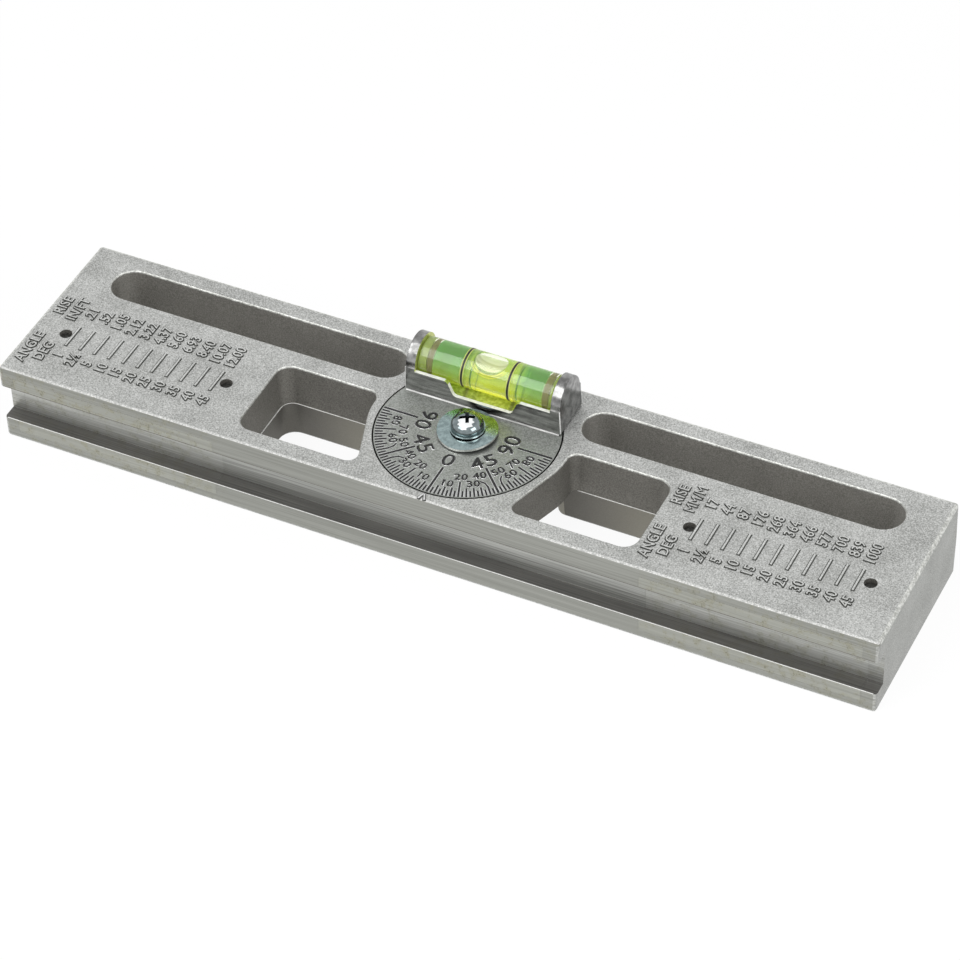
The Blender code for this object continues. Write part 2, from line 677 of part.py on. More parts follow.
def vial_ends(parts):
    """A clear cap and a brown seal close each end of the tube; returns them and where the liquid ends."""
    made = {"cap": [], "seal": []}
    liquid_ends = {}
    for name, side in SIDES.items():
        at = VIAL_LENGTH / 2
        for kind, lengths in (("cap", CAP_LENGTHS), ("seal", SEAL_LENGTHS)):
            ends = sorted((side * at, side * (at - lengths[name])))
            made[kind].append(vial_rod(f"vial_{kind}_{name}", *ends, parts))
            at -= lengths[name] + CLEARANCE
        liquid_ends[name] = side * at
    return made, liquid_ends


def vial_liquid(parts, cutters, ends):
    """The liquid, with the bubble as a hollow in its upper side."""
    liquid = vial_rod("vial_liquid", ends["left"], ends["right"], parts)
    work = bmesh.new()
    bmesh.ops.create_uvsphere(work, u_segments=SMALL_SIDES, v_segments=SMALL_SIDES // 2, radius=1)
    bmesh.ops.scale(work, vec=(BUBBLE_LENGTH / 2, BUBBLE_WIDTH / 2, BUBBLE_DEPTH), verts=work.verts)
    bmesh.ops.translate(work, vec=(0, VIAL_Y, VIAL_Z + CONTENT_RADIUS), verts=work.verts)
    mesh = bpy.data.meshes.new("bubble_cut")
    work.to_mesh(mesh)
    work.free()
    combine(liquid, [add_object("bubble_cut", mesh, cutters)], "DIFFERENCE")
    return liquid


def finish(items, material):
    for item in items:
        item.data.materials.clear()
        item.data.materials.append(material)


def main():
    clear_scene()
    parts = new_collection("magnetic_protractor_level")
    cutters = new_collection("cutters")
    dial_axis = bpy.data.objects.new("dial_axis", None)
    dial_axis.location = (0, 0, THICKNESS)
    parts.objects.link(dial_axis)

    finish([body_casting(parts, cutters)], new_material("cast aluminium", (0.50, 0.50, 0.49), 0.55, 0.9))
    finish(magnets(parts), new_material("ground magnet", (0.30, 0.30, 0.29), 0.45, 0.8))
    finish(pole_plates(parts, cutters), new_material("ground steel", (0.45, 0.45, 0.42), 0.4, 0.9))
    finish(magnet_pins(parts), new_material("dark steel pin", (0.12, 0.12, 0.12), 0.5, 0.8))
    finish([pivot_screw(parts, cutters)], new_material("bright zinc screw", (0.72, 0.74, 0.76), 0.15, 1.0))
    washers = [spring_washer(parts), head_washer(parts)]
    finish(washers, new_material("zinc plate", (0.58, 0.64, 0.68), 0.25, 1.0))

    dial = dial_housing(parts, cutters)
    finish([dial], new_material("polished casting", (0.56, 0.56, 0.56), 0.3, 1.0))
    tube = vial_tube(parts)
    finish([tube], new_material("clear acrylic", (0.95, 0.97, 0.93), 0.05, 0.0, 0.9))
    rings = vial_rings(parts)
    finish(rings, new_material("black ring mark", (0.01, 0.01, 0.01), 0.4, 0.0))
    ends, liquid_ends = vial_ends(parts)
    finish(ends["cap"], new_material("acrylic end cap", (0.62, 0.70, 0.42), 0.2, 0.0, 0.5))
    finish(ends["seal"], new_material("brown seal", (0.22, 0.19, 0.10), 0.5, 0.0))
    liquid = vial_liquid(parts, cutters, liquid_ends)
    finish([liquid], new_material("yellow-green liquid", (0.55, 0.85, 0.10), 0.05, 0.0, 0.8))
    turning = [dial, tube, *rings, *ends["cap"], *ends["seal"], liquid]
    bpy.context.view_layer.update()
    for item in turning:
        item.parent = dial_axis
        item.matrix_parent_inverse = dial_axis.matrix_world.inverted()


main()
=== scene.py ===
# %% [markdown]
# # A magnetic protractor level
# The real tool is a cast aluminium bar. Its grooved edge holds magnets, and a round dial with a spirit vial
# turns on a screw, so that the level can be set to read any angle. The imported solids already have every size.
# What is left to add is what the eye reads first: the grain of the casting, the ground edge, the raised
# figures, the polish of the dial and the light inside the vial.

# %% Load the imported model
import math

import bmesh
import bpy
from mathutils import Matrix, Vector


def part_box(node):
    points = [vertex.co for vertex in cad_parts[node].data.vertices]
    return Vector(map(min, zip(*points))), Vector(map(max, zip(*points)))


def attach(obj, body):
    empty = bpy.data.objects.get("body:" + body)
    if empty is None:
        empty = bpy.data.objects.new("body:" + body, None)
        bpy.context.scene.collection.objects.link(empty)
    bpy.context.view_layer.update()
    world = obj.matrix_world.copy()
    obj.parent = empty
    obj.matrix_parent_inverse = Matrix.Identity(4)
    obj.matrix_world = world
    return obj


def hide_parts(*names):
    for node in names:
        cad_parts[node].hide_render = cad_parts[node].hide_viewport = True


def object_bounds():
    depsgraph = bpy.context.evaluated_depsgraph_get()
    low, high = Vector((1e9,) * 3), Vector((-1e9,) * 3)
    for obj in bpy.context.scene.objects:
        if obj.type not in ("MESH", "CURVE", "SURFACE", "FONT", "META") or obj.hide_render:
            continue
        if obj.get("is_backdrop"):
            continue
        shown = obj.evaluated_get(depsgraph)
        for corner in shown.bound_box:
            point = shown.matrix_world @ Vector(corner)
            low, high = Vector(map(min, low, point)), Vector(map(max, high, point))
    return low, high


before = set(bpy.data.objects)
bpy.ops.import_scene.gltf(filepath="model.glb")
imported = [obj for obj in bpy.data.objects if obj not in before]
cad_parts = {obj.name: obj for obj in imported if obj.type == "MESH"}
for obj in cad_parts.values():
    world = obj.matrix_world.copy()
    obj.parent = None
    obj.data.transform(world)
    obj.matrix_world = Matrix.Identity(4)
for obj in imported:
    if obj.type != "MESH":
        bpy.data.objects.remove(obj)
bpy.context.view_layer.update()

MM = 0.001

# %% [markdown]
# ## Where things are
# Nothing here is typed twice: the face height, the dial's radius and the vial's axis are read from the boxes of
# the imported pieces, so the marks follow the solids if a size changes.

# %% Read the levels and radii from the solids
BODY_LOW, BODY_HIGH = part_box("body_casting")
TUBE_LOW, TUBE_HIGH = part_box("vial_tube")
LIQUID_LOW, LIQUID_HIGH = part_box("vial_liquid")

FACE = BODY_HIGH.z
EDGE = BODY_LOW.y
HALF_LENGTH = BODY_HIGH.x
DIAL_RADIUS = -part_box("dial_housing")[0].y
VIAL_RADIUS = (TUBE_HIGH.z - TUBE_LOW.z) / 2
VIAL_AXIS = (TUBE_LOW + TUBE_HIGH) / 2
VIAL_HALF = (TUBE_HIGH.x - TUBE_LOW.x) / 2
print("face at", round(FACE / MM, 2), "dial radius", round(DIAL_RADIUS / MM, 2), "vial axis", VIAL_AXIS / MM)

# %% [markdown]
# ## Small helpers
# Colours are written as the sRGB hex values that a paint chart gives, and turned to the linear values that a
# shader works in. One function adds any node, sets it up and links it, so that each material below reads as
# a list of what its surface is made of.

# %% Colours, nodes and materials
def linear(code):
    """The linear RGBA of an sRGB hex colour such as "#8a8d8f"."""
    shares = [int(code[start:start + 2], 16) / 255 for start in (1, 3, 5)]
    return (*(s / 12.92 if s <= 0.04045 else ((s + 0.055) / 1.055) ** 2.4 for s in shares), 1.0)


def set_inputs(node, inputs):
    """Gives a node's inputs their values; a value may be a socket, or a node that stands for its first output."""
    for name, value in inputs:
        if isinstance(value, bpy.types.Node):
            value = value.outputs[0]
        if isinstance(value, bpy.types.NodeSocket):
            node.id_data.links.new(value, node.inputs[name])
        else:
            node.inputs[name].default_value = value


def add_node(tree, kind, inputs=(), stops=(), **settings):
    """Adds a node with its inputs and its settings; stops are the (position, hex colour) pairs of a ramp."""
    made = tree.nodes.new(kind)
    for name, value in settings.items():
        setattr(made, name, value)
    if stops:
        for _ in stops[2:]:
            made.color_ramp.elements.new(1.0)
        for element, (position, code) in zip(made.color_ramp.elements, stops):
            element.position = position
            element.color = linear(code)
    set_inputs(made, inputs)
    return made


def new_surface(name, **values):
    """A material with a bare Principled shader; values name its sockets, with _ for a space."""
    material = bpy.data.materials.new(name)
    material.use_nodes = True
    shader = material.node_tree.nodes["Principled BSDF"]
    set_inputs(shader, [(key.replace("_", " "), value) for key, value in values.items()])
    return material, material.node_tree, shader


# %% [markdown]
# ## Cast aluminium
# The bar is cast aluminium, shot blasted after casting. Blasting leaves a fine frosted grain of about a third of
# a millimetre, each dimple a tiny dull mirror, so the face glitters instead of shining. A noise at that size
# drives a bump and a slight change of tone; a slower one stands for the unevenness of the blast. Real grit is
# finer than this in places, but a picture can't show less than its own pixel.

# %% Cast aluminium, shot blasted
GRAIN = 0.34 * MM
BLOTCH = 9 * MM
GRAIN_SHARE = 0.8
ROUGHNESS_SWING = 0.1


def cast_aluminium(name, dark, light, roughness, depth, size=GRAIN):
    material, tree, shader = new_surface(name, Metallic=0.8)
    place = add_node(tree, "ShaderNodeTexCoord").outputs["Object"]
    grain = add_node(tree, "ShaderNodeTexNoise", [("Vector", place), ("Scale", 1 / size), ("Detail", 2.0),
                                                  ("Roughness", 0.65)])
    blotch = add_node(tree, "ShaderNodeTexNoise", [("Vector", place), ("Scale", 1 / BLOTCH), ("Detail", 3.0)])
    mixed = add_node(tree, "ShaderNodeMath", [(0, grain), (1, GRAIN_SHARE)], operation="MULTIPLY")
    mixed = add_node(tree, "ShaderNodeMath", [(0, blotch), (1, 1 - GRAIN_SHARE), (2, mixed)],
                     operation="MULTIPLY_ADD")
    tone = add_node(tree, "ShaderNodeValToRGB", [("Fac", mixed)], stops=[(0.36, dark), (0.64, light)])
    rough = add_node(tree, "ShaderNodeMapRange", [("Value", grain), ("To Min", roughness - ROUGHNESS_SWING),
                                                  ("To Max", roughness + ROUGHNESS_SWING)])
    bump = add_node(tree, "ShaderNodeBump", [("Height", grain), ("Distance", depth), ("Strength", 1.0)])
    set_inputs(shader, [("Base Color", tone), ("Roughness", rough), ("Normal", bump)])
    return material


CAST = cast_aluminium("cast_aluminium_blasted", "#8a8b88", "#cfd0ce", 0.5, 0.1 * MM)
CORED = cast_aluminium("cast_aluminium_cored_wall", "#6f6d68", "#918f89", 0.62, 0.06 * MM)
# Painted shade for the sides of the raised figures and the bands round them.
FIGURE_PAINTED_SHADE = cast_aluminium("cast_aluminium_crease", "#444542", "#656663", 0.6, 0.03 * MM)
# Rims of the openings: rubbed by hands and tools, and lighter still as a painted highlight.
RUBBED_AND_HIGHLIGHT = cast_aluminium("cast_aluminium_rubbed_edge", "#a2a39e", "#e2e3df", 0.48, 0.05 * MM, 0.6 * MM)
END_SKIN = cast_aluminium("cast_aluminium_end_skin", "#8c8d8a", "#b8b9b6", 0.6, 0.05 * MM)
SLOT_WALL = cast_aluminium("cast_aluminium_slot_wall", "#7f7d78", "#a3a19b", 0.62, 0.06 * MM)
FIGURE_TOP = cast_aluminium("cast_aluminium_figure_top", "#a2a3a0", "#e0e1df", 0.45, 0.06 * MM)
print("grain drawn at", GRAIN / MM, "mm")

# %% [markdown]
# Below the parting line the walls of the windows were drawn from the other half of the mould. Painted light and shade
# make them darker at the left of each window and lighter and warmer toward the right, so their tone follows X, window
# by window.

# %% Lower walls of the windows
WINDOW_STEP = 73 * MM
WINDOW_START = -50 * MM
WINDOW_LENGTH = 24 * MM
PAINTED_LIGHT_SHARE = 0.65


def lower_wall():
    material = CORED.copy()
    material.name = "cast_aluminium_lower_wall"
    tree = material.node_tree
    shader = tree.nodes["Principled BSDF"]
    place = add_node(tree, "ShaderNodeTexCoord").outputs["Object"]
    across = add_node(tree, "ShaderNodeSeparateXYZ", [("Vector", place)]).outputs["X"]
    shifted = add_node(tree, "ShaderNodeMath", [(0, across), (1, WINDOW_START)], operation="SUBTRACT")
    within = add_node(tree, "ShaderNodeMath", [(0, shifted), (1, WINDOW_STEP)], operation="MODULO")
    share = add_node(tree, "ShaderNodeMath", [(0, within), (1, WINDOW_LENGTH)], operation="DIVIDE")
    tone = add_node(tree, "ShaderNodeValToRGB", [("Fac", share)],
                    stops=[(0.0, "#62605a"), (0.25, "#72706a"), (0.85, "#a19e92"), (1.0, "#a5a296")])
    speckle = shader.inputs["Base Color"].links[0].from_socket
    mixed = add_node(tree, "ShaderNodeMix", [(0, PAINTED_LIGHT_SHARE), (6, speckle), (7, tone)], data_type="RGBA")
    set_inputs(shader, [("Base Color", mixed.outputs[2])])
    return material


CORED_LOW_PAINTED_LIGHT = lower_wall()

# %% [markdown]
# ## Ground metal
# The grooved edge is milled and ground flat after casting, because it is what the level stands on. Grinding runs
# along the bar and leaves faint lines that way: a noise stretched along X draws them. Handling oil has stained the
# edge a little yellow over the magnets, where a slow noise lays the stain.

# %% Ground edge of the bar and of the pole plates
LINE_WIDTH = 0.35 * MM
LINE_LENGTH = 30 * MM
LINE_DEPTH = 0.02 * MM
STAIN = 2.6 * MM
SPECK = 0.5 * MM
PIT_COLOUR = "#4f4c38"
STAIN_START = 52 * MM
STAIN_FULL = 62 * MM


def ground_metal(name, dark, light, stain, stain_share, roughness, metallic=0.85):
    material, tree, shader = new_surface(name, Metallic=metallic, Roughness=roughness)
    place = add_node(tree, "ShaderNodeTexCoord").outputs["Object"]
    stretched = add_node(tree, "ShaderNodeMapping", [
        ("Vector", place), ("Scale", (1 / LINE_LENGTH, 1 / LINE_WIDTH, 1 / LINE_WIDTH))])
    lines = add_node(tree, "ShaderNodeTexNoise", [("Vector", stretched), ("Scale", 1.0), ("Detail", 3.0)])
    cloud = add_node(tree, "ShaderNodeTexNoise", [("Vector", place), ("Scale", 1 / STAIN), ("Detail", 5.0),
                                                  ("Roughness", 0.65)])
    along = add_node(tree, "ShaderNodeSeparateXYZ", [("Vector", place)]).outputs["X"]
    away = add_node(tree, "ShaderNodeMath", [(0, along)], operation="ABSOLUTE")
    zone = add_node(tree, "ShaderNodeMapRange", [("Value", away), ("From Min", STAIN_START),
                                                 ("From Max", STAIN_FULL)])
    spots = add_node(tree, "ShaderNodeMapRange", [("Value", cloud), ("From Min", 0.48), ("From Max", 0.62),
                                                  ("To Max", stain_share)])
    where = add_node(tree, "ShaderNodeMath", [(0, zone), (1, spots)], operation="MULTIPLY")
    dots = add_node(tree, "ShaderNodeTexNoise", [("Vector", place), ("Scale", 1 / SPECK), ("Detail", 2.0)])
    dots = add_node(tree, "ShaderNodeMapRange", [("Value", dots), ("From Min", 0.55), ("From Max", 0.62),
                                                 ("To Max", 0.9)])
    pits = add_node(tree, "ShaderNodeMath", [(0, dots), (1, where)], operation="MULTIPLY")
    colour = add_node(tree, "ShaderNodeValToRGB", [("Fac", lines)], stops=[(0.3, dark), (0.7, light)])
    for share, tone in ((where, stain), (pits, PIT_COLOUR)):
        colour = add_node(tree, "ShaderNodeMix", [(0, share), (6, colour), (7, linear(tone))],
                          data_type="RGBA").outputs[2]
    bump = add_node(tree, "ShaderNodeBump", [("Height", lines), ("Distance", LINE_DEPTH), ("Strength", 0.6)])
    set_inputs(shader, [("Base Color", colour), ("Normal", bump)])
    return material


GROUND = ground_metal("aluminium_ground_edge", "#8f908a", "#a3a49e", "#96947f", 0.35, 0.45)
CHANNEL = ground_metal("aluminium_milled_channel", "#92938f", "#cacbc7", "#9f9d8a", 0.3, 0.38)
# The sill is milled aluminium like the channel, painted darker: painted shade under the lip of the groove.
SILL_PAINTED_SHADE = ground_metal("aluminium_milled_sill", "#4b4a48", "#6a6966", "#57554b", 0.3, 0.5, 0.5)
PLATE = ground_metal("steel_ground_pole_plate", "#989992", "#acada5", "#9a977e", 0.45, 0.45)
MAGNET = ground_metal("ferrite_magnet", "#a1a29e", "#cccdc9", "#a5a38e", 0.35, 0.42)

# %% [markdown]
# ## Dial, screw and washer metals
# The dial and its housing are one casting, polished and left bright; the flat of the dial is then finely brushed
# before it is marked. The screw is chromed, the washers are zinc plated, which has a bluish cast.

# %% Polished, brushed and plated metals
def polished_metal(name, dark, light, roughness, wave, depth, metallic=1.0, stretch=1.0):
    """Metal that is smooth to the finger but never quite flat to the eye."""
    material, tree, shader = new_surface(name, Metallic=metallic)
    place = add_node(tree, "ShaderNodeTexCoord").outputs["Object"]
    place = add_node(tree, "ShaderNodeMapping", [("Vector", place), ("Scale", (1 / stretch, 1, 1))])
    noise = add_node(tree, "ShaderNodeTexNoise", [("Vector", place), ("Scale", 1 / wave), ("Detail", 3.0)])
    tone = add_node(tree, "ShaderNodeValToRGB", [("Fac", noise)], stops=[(0.35, dark), (0.65, light)])
    rough = add_node(tree, "ShaderNodeMapRange", [("Value", noise), ("To Min", roughness * 0.8),
                                                  ("To Max", roughness * 1.25)])
    bump = add_node(tree, "ShaderNodeBump", [("Height", noise), ("Distance", depth), ("Strength", 1.0)])
    set_inputs(shader, [("Base Color", tone), ("Roughness", rough), ("Normal", bump)])
    return material


POLISHED = polished_metal("aluminium_polished_casting", "#5f5f5e", "#8a8a89", 0.2, 0.8 * MM, 0.04 * MM, 1.0, 9.0)
CHEEK = polished_metal("aluminium_polished_cheek", "#6c6c6b", "#a2a2a1", 0.2, 1.9 * MM, 0.06 * MM)
# A painted highlight for the burrs of the dial's marks, the top of the reading mark and the edges of the washers.
RIM_PAINTED_HIGHLIGHT = polished_metal("aluminium_bright_rim", "#cfd0cf", "#f2f2f2", 0.2, 1.2 * MM, 0.03 * MM)
# The trough under the vial is painted yellow-green: a painted reflection of the light in the dye.
TROUGH_DYE_REFLECTION = polished_metal("aluminium_lit_by_the_dye", "#a9b35c", "#dbe38e", 0.3, 0.9 * MM, 0.03 * MM, 0.6)
# Near white: an edge worn bright, and the painted highlights on the ledges in the windows and on the rims and cheeks
# of the dial.
RIM_WEAR_AND_HIGHLIGHT = polished_metal("aluminium_worn_rim", "#e6e6e4", "#fdfdfc", 0.4, 0.8 * MM, 0.03 * MM, 0.1)
# The front rim is rubbed by use, and a painted highlight lies along its round.
FRONT_RIM_WEAR_AND_HIGHLIGHT = polished_metal("aluminium_rubbed_front_rim", "#aaaba8", "#dfdfdd", 0.42, 0.45 * MM, 0.04 * MM, 0.3)
CHROME = polished_metal("chrome_plated_steel", "#737d7f", "#8a9496", 0.08, 1.2 * MM, 0.02 * MM)
# A painted highlight on the screw's dome.
CHROME_PAINTED_HIGHLIGHT = polished_metal("chrome_in_the_light", "#eef1f1", "#fbfcfc", 0.15, 1.2 * MM, 0.02 * MM, 0.7)
# Painted shade for the walls of the cross recess.
RECESS_SHADE = polished_metal("chrome_in_shadow", "#23282a", "#3a4043", 0.25, 0.6 * MM, 0.02 * MM)
ZINC = polished_metal("zinc_plated_steel", "#7f8f90", "#9aabac", 0.16, 1.0 * MM, 0.03 * MM)
PIN_STEEL = polished_metal("blackened_steel_pin", "#3f3f3d", "#545452", 0.5, 0.5 * MM, 0.02 * MM)


def brushed_dial():
    """Aluminium with a fine even grain, as the flat of the dial has between its marks."""
    material, tree, shader = new_surface("aluminium_satin_dial", Metallic=0.9, Roughness=0.45)
    place = add_node(tree, "ShaderNodeTexCoord").outputs["Object"]
    grain = add_node(tree, "ShaderNodeTexNoise", [("Vector", place), ("Scale", 1 / (0.35 * MM)), ("Detail", 2.0)])
    tone = add_node(tree, "ShaderNodeValToRGB", [("Fac", grain)], stops=[(0.35, "#858883"), (0.66, "#a9aca8")])
    bump = add_node(tree, "ShaderNodeBump", [("Height", grain), ("Distance", 0.03 * MM), ("Strength", 0.7)])
    set_inputs(shader, [("Base Color", tone), ("Normal", bump)])
    return material


SATIN = brushed_dial()

# %% [markdown]
# The dial's marks are cut, and black enamel is wiped into them. It dries matt and a little uneven, so a noise of
# half a millimetre moves it between two near-blacks. A plain black would look printed.

# %% Black filling of the dial's marks
def enamel_fill():
    material, tree, shader = new_surface("black_enamel_fill", Roughness=0.6)
    place = add_node(tree, "ShaderNodeTexCoord").outputs["Object"]
    noise = add_node(tree, "ShaderNodeTexNoise", [("Vector", place), ("Scale", 1 / (0.5 * MM))])
    tone = add_node(tree, "ShaderNodeValToRGB", [("Fac", noise)], stops=[(0.35, "#0b0c0c"), (0.7, "#1d1f1e")])
    set_inputs(shader, [("Base Color", tone)])
    return material


ENAMEL = enamel_fill()

# %% [markdown]
# ## Figures that stand on the metal
# The figures of the bar are cast with it and stand a quarter of a millimetre proud, with sloping sides. A bump map
# can only suggest that, so they are solids here. A text curve with a bevel is widest at its middle height: with its
# middle on the face, its upper half is just such a raised figure, and its lower half is pressed flat. The marks of
# the dial are cut and filled level with black. The same solids serve there, a twentieth of a millimetre high.

# %% Helpers that make raised figures and strokes
CAP_SHARE = 0.73
SPACING = 1.05
TOUCH = 0.01 * MM
WELD = 0.001 * MM


def as_mesh(work, name):
    """Turns a bmesh into a mesh."""
    mesh = bpy.data.meshes.new(name)
    work.to_mesh(mesh)
    work.free()
    return mesh


def as_object(data, name):
    """Puts a mesh or a text into the scene."""
    item = bpy.data.objects.new(name, data)
    bpy.context.scene.collection.objects.link(item)
    return item


def worked_out(item):
    """The mesh that an item has after its bevels and modifiers."""
    bpy.context.view_layer.update()
    return bpy.data.meshes.new_from_object(item.evaluated_get(bpy.context.evaluated_depsgraph_get()))


def figure(text, height, width_share, centre, turn, rise, slope, weight=0.0):
    """A text as a solid on the face, centred on a point, turned about Z and with sides that slope in."""
    font = bpy.data.curves.new("figure", "FONT")
    font.body = text
    font.align_x = "CENTER"
    font.size = height / CAP_SHARE
    font.space_character = SPACING
    font.resolution_u = 3
    font.bevel_depth = slope
    font.bevel_resolution = 0
    font.offset = weight
    drawn = as_object(font, "figure")
    mesh = worked_out(drawn)
    bpy.data.objects.remove(drawn)
    squeeze = Matrix.Diagonal((width_share, 1, rise / font.bevel_depth, 1))
    drop = Matrix.Translation((0, -height / 2, 0))
    mesh.transform(Matrix.Translation((*centre, FACE)) @ Matrix.Rotation(turn, 4, "Z") @ squeeze @ drop)
    work = bmesh.new()
    work.from_mesh(mesh)
    bpy.data.meshes.remove(mesh)
    bmesh.ops.remove_doubles(work, verts=work.verts, dist=WELD)
    for corner in work.verts:
        corner.co.z = max(corner.co.z, FACE - TOUCH)
    bmesh.ops.recalc_face_normals(work, faces=work.faces)
    return as_mesh(work, "figure")


def between(rings):
    """A bmesh solid that joins two ends of four corners each."""
    work = bmesh.new()
    ends = [work.faces.new([work.verts.new(corner) for corner in ring]) for ring in rings]
    bmesh.ops.bridge_loops(work, edges=[edge for end in ends for edge in end.edges])
    bmesh.ops.recalc_face_normals(work, faces=work.faces)
    return work


def stroke(start, end, width, rise, slope=0.0, level=FACE):
    """A straight bar between two points; its sides slope in by the slope up to its top."""
    start = Vector((*start, level))
    end = Vector((*end, level))
    along = (end - start).normalized()
    side = along.cross(Vector((0, 0, 1)))
    rings = []
    for lift, inset in ((-TOUCH, 0.0), (rise, slope)):
        up = Vector((0, 0, lift))
        reach = side * (width / 2 - inset)
        a, b = start + along * inset + up, end - along * inset + up
        rings.append((a - reach, b - reach, b + reach, a + reach))
    return as_mesh(between(rings), "stroke")


def joined(name, meshes, materials, choose=None):
    """One object from many meshes, painted as paint() says."""
    work = bmesh.new()
    for mesh in meshes:
        work.from_mesh(mesh)
        bpy.data.meshes.remove(mesh)
    item = as_object(as_mesh(work, name), name)
    paint(item, materials, choose)
    return item


# %% [markdown]
# Each cast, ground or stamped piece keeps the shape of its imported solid. The solid itself may not be changed, so a
# copy of it is dressed: its corners are joined again, each face gets its finish, and the light runs smoothly over
# the rounds and stays flat on the flats.

# %% Helpers that copy a node and paint its faces
def copy_of(node, name, change=None):
    """A new object with the node's mesh, its corners joined again and its flat faces made whole."""
    work = bmesh.new()
    work.from_mesh(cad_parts[node].data)
    bmesh.ops.remove_doubles(work, verts=work.verts, dist=WELD)
    bmesh.ops.dissolve_limit(work, angle_limit=math.radians(0.2), verts=work.verts, edges=work.edges)
    if change:
        for corner in work.verts:
            corner.co = change(corner.co)
    return as_object(as_mesh(work, name), name)


def paint(item, materials, choose=None):
    """Gives the item its materials; a face has the one that choose(centre, normal) returns, or the first."""
    item.data.materials.clear()
    for material in materials:
        item.data.materials.append(material)
    for face in item.data.polygons:
        face.material_index = materials.index(choose(face.center, face.normal)) if choose else 0


def shade(item, degrees=35):
    """Smooth shading up to an angle; large faces keep their own flat light."""
    work = bmesh.new()
    work.from_mesh(item.data)
    for face in work.faces:
        face.smooth = True
    for edge in work.edges:
        edge.smooth = len(edge.link_faces) == 2 and edge.calc_face_angle() < math.radians(degrees)
    work.to_mesh(item.data)
    work.free()
    if "custom_normal" in item.data.attributes:
        item.data.attributes.remove(item.data.attributes["custom_normal"])
    step = item.modifiers.new("flat_faces_stay_flat", "WEIGHTED_NORMAL")
    step.keep_sharp = True
    result = worked_out(item)
    item.modifiers.clear()
    item.data = result


def seat(item, body, slot, *nodes):
    """Says what the item rides on and hides the nodes that it stands for; slot is not used."""
    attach(item, body)
    if nodes:
        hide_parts(*nodes)


# %% [markdown]
# ## The casting
# One casting shows several finishes: the blasted skin, the rough walls that a core left in the openings, rubbed edges
# where hands and tools have taken the frost off, lighter still as a painted highlight, and the ground edge with its
# milled channel, whose sill is painted in shade. Each face of the solid gets the finish that its place and direction
# call for. The front rim is the brightest: every sleeve and bench rubs it, and a painted highlight runs along its
# round. The ledge at the parting line in each window is a painted highlight.

# %% Dress the bar
WALL_DEPTH = 4.5 * MM
RIM_DEPTH = 0.8 * MM
PARTING = 11.0 * MM
LEDGE = 1.2 * MM
RIM_UP = 0.45
END_DEPTH = 1 * MM
SLOT_FRONT = 8 * MM
BAR_FINISHES = [CAST, CORED, CORED_LOW_PAINTED_LIGHT, GROUND, CHANNEL, SILL_PAINTED_SHADE, RUBBED_AND_HIGHLIGHT, END_SKIN, SLOT_WALL, RIM_WEAR_AND_HIGHLIGHT, FRONT_RIM_WEAR_AND_HIGHLIGHT]


def bar_finish(centre, normal):
    inside = abs(centre.x) < HALF_LENGTH - END_DEPTH and abs(centre.y) < -EDGE - WALL_DEPTH
    if centre.z > FACE - RIM_DEPTH and 0.2 < normal.z < 0.98:
        if centre.y >= EDGE + RIM_DEPTH:
            return RUBBED_AND_HIGHLIGHT
        return FRONT_RIM_WEAR_AND_HIGHLIGHT if normal.z > RIM_UP else GROUND
    # The ledge at the parting line is painted as a bright highlight.
    if inside and normal.z > 0.5 and abs(centre.z - PARTING) < LEDGE:
        return RIM_WEAR_AND_HIGHLIGHT
    if abs(centre.x) > HALF_LENGTH - END_DEPTH and abs(normal.x) > 0.9:
        return END_SKIN
    if inside and abs(normal.z) < 0.3:
        if centre.y > SLOT_FRONT:
            return SLOT_WALL
        return CORED if centre.z > PARTING else CORED_LOW_PAINTED_LIGHT
    if centre.y < EDGE + WALL_DEPTH and abs(normal.x) < 0.5 and END_DEPTH < centre.z < FACE - RIM_DEPTH:
        if centre.y < EDGE + 0.1 * MM:
            return GROUND
        return SILL_PAINTED_SHADE if normal.z > 0.6 and centre.z < PARTING else CHANNEL
    return CAST


bar = copy_of("body_casting", "bar")
paint(bar, BAR_FINISHES, bar_finish)
shade(bar)
seat(bar, "frame", "cast_aluminium", "body_casting")
print("faces of each finish:", [sum(face.material_index == i for face in bar.data.polygons)
                                for i in range(len(BAR_FINISHES))])

# %% [markdown]
# ## The scales of the bar
# Each end of the bar has a table: eleven angles, a line for each, and the rise that goes with it, as inches to
# the foot on the left and as millimetres to the metre on the right. The rises are worked out here from the angles,
# because that is what they are. Only plain figures and unit marks are drawn; the figures read along +Y.

# %% Work out the tables
ANGLES = [1, 2.5, 5] + list(range(10, 50, 5))
INCHES_A_FOOT = 12
ROW_PITCH = 4.0 * MM
TABLES = {
    "left": {"first": -103.2 * MM, "rise": lambda tangent: f"{INCHES_A_FOOT * tangent:.2f}".lstrip("0"),
             "unit": "IN/FT", "unit_x": -107.2 * MM, "name_x": -111.2 * MM},
    "right": {"first": 62.4 * MM, "rise": lambda tangent: f"{1000 * tangent:.0f}",
              "unit": "MM/M", "unit_x": 58.3 * MM, "name_x": 54.4 * MM},
}
ANGLE_ROW_Y = -15.7 * MM
RISE_ROW_Y = 1.0 * MM
LINE_FRONT_Y = -12.0 * MM
LINE_BACK_Y = -4.5 * MM
FIGURE_HEIGHT = 2.7 * MM
FIGURE_WIDTH_SHARE = 0.92
FIGURE_RISE = 0.24 * MM
FIGURE_SLOPE = 0.15 * MM
M_WEIGHT = -0.05 * MM
LINE_STROKE = 0.74 * MM
LINE_SPREAD = 3.4
SHADE_BAND_WIDTH = 0.12 * MM
SHADE_BAND_RISE = 0.03 * MM
QUARTER = math.radians(90)


def angle_text(angle):
    return f"{int(angle)}½" if angle % 1 else str(angle)


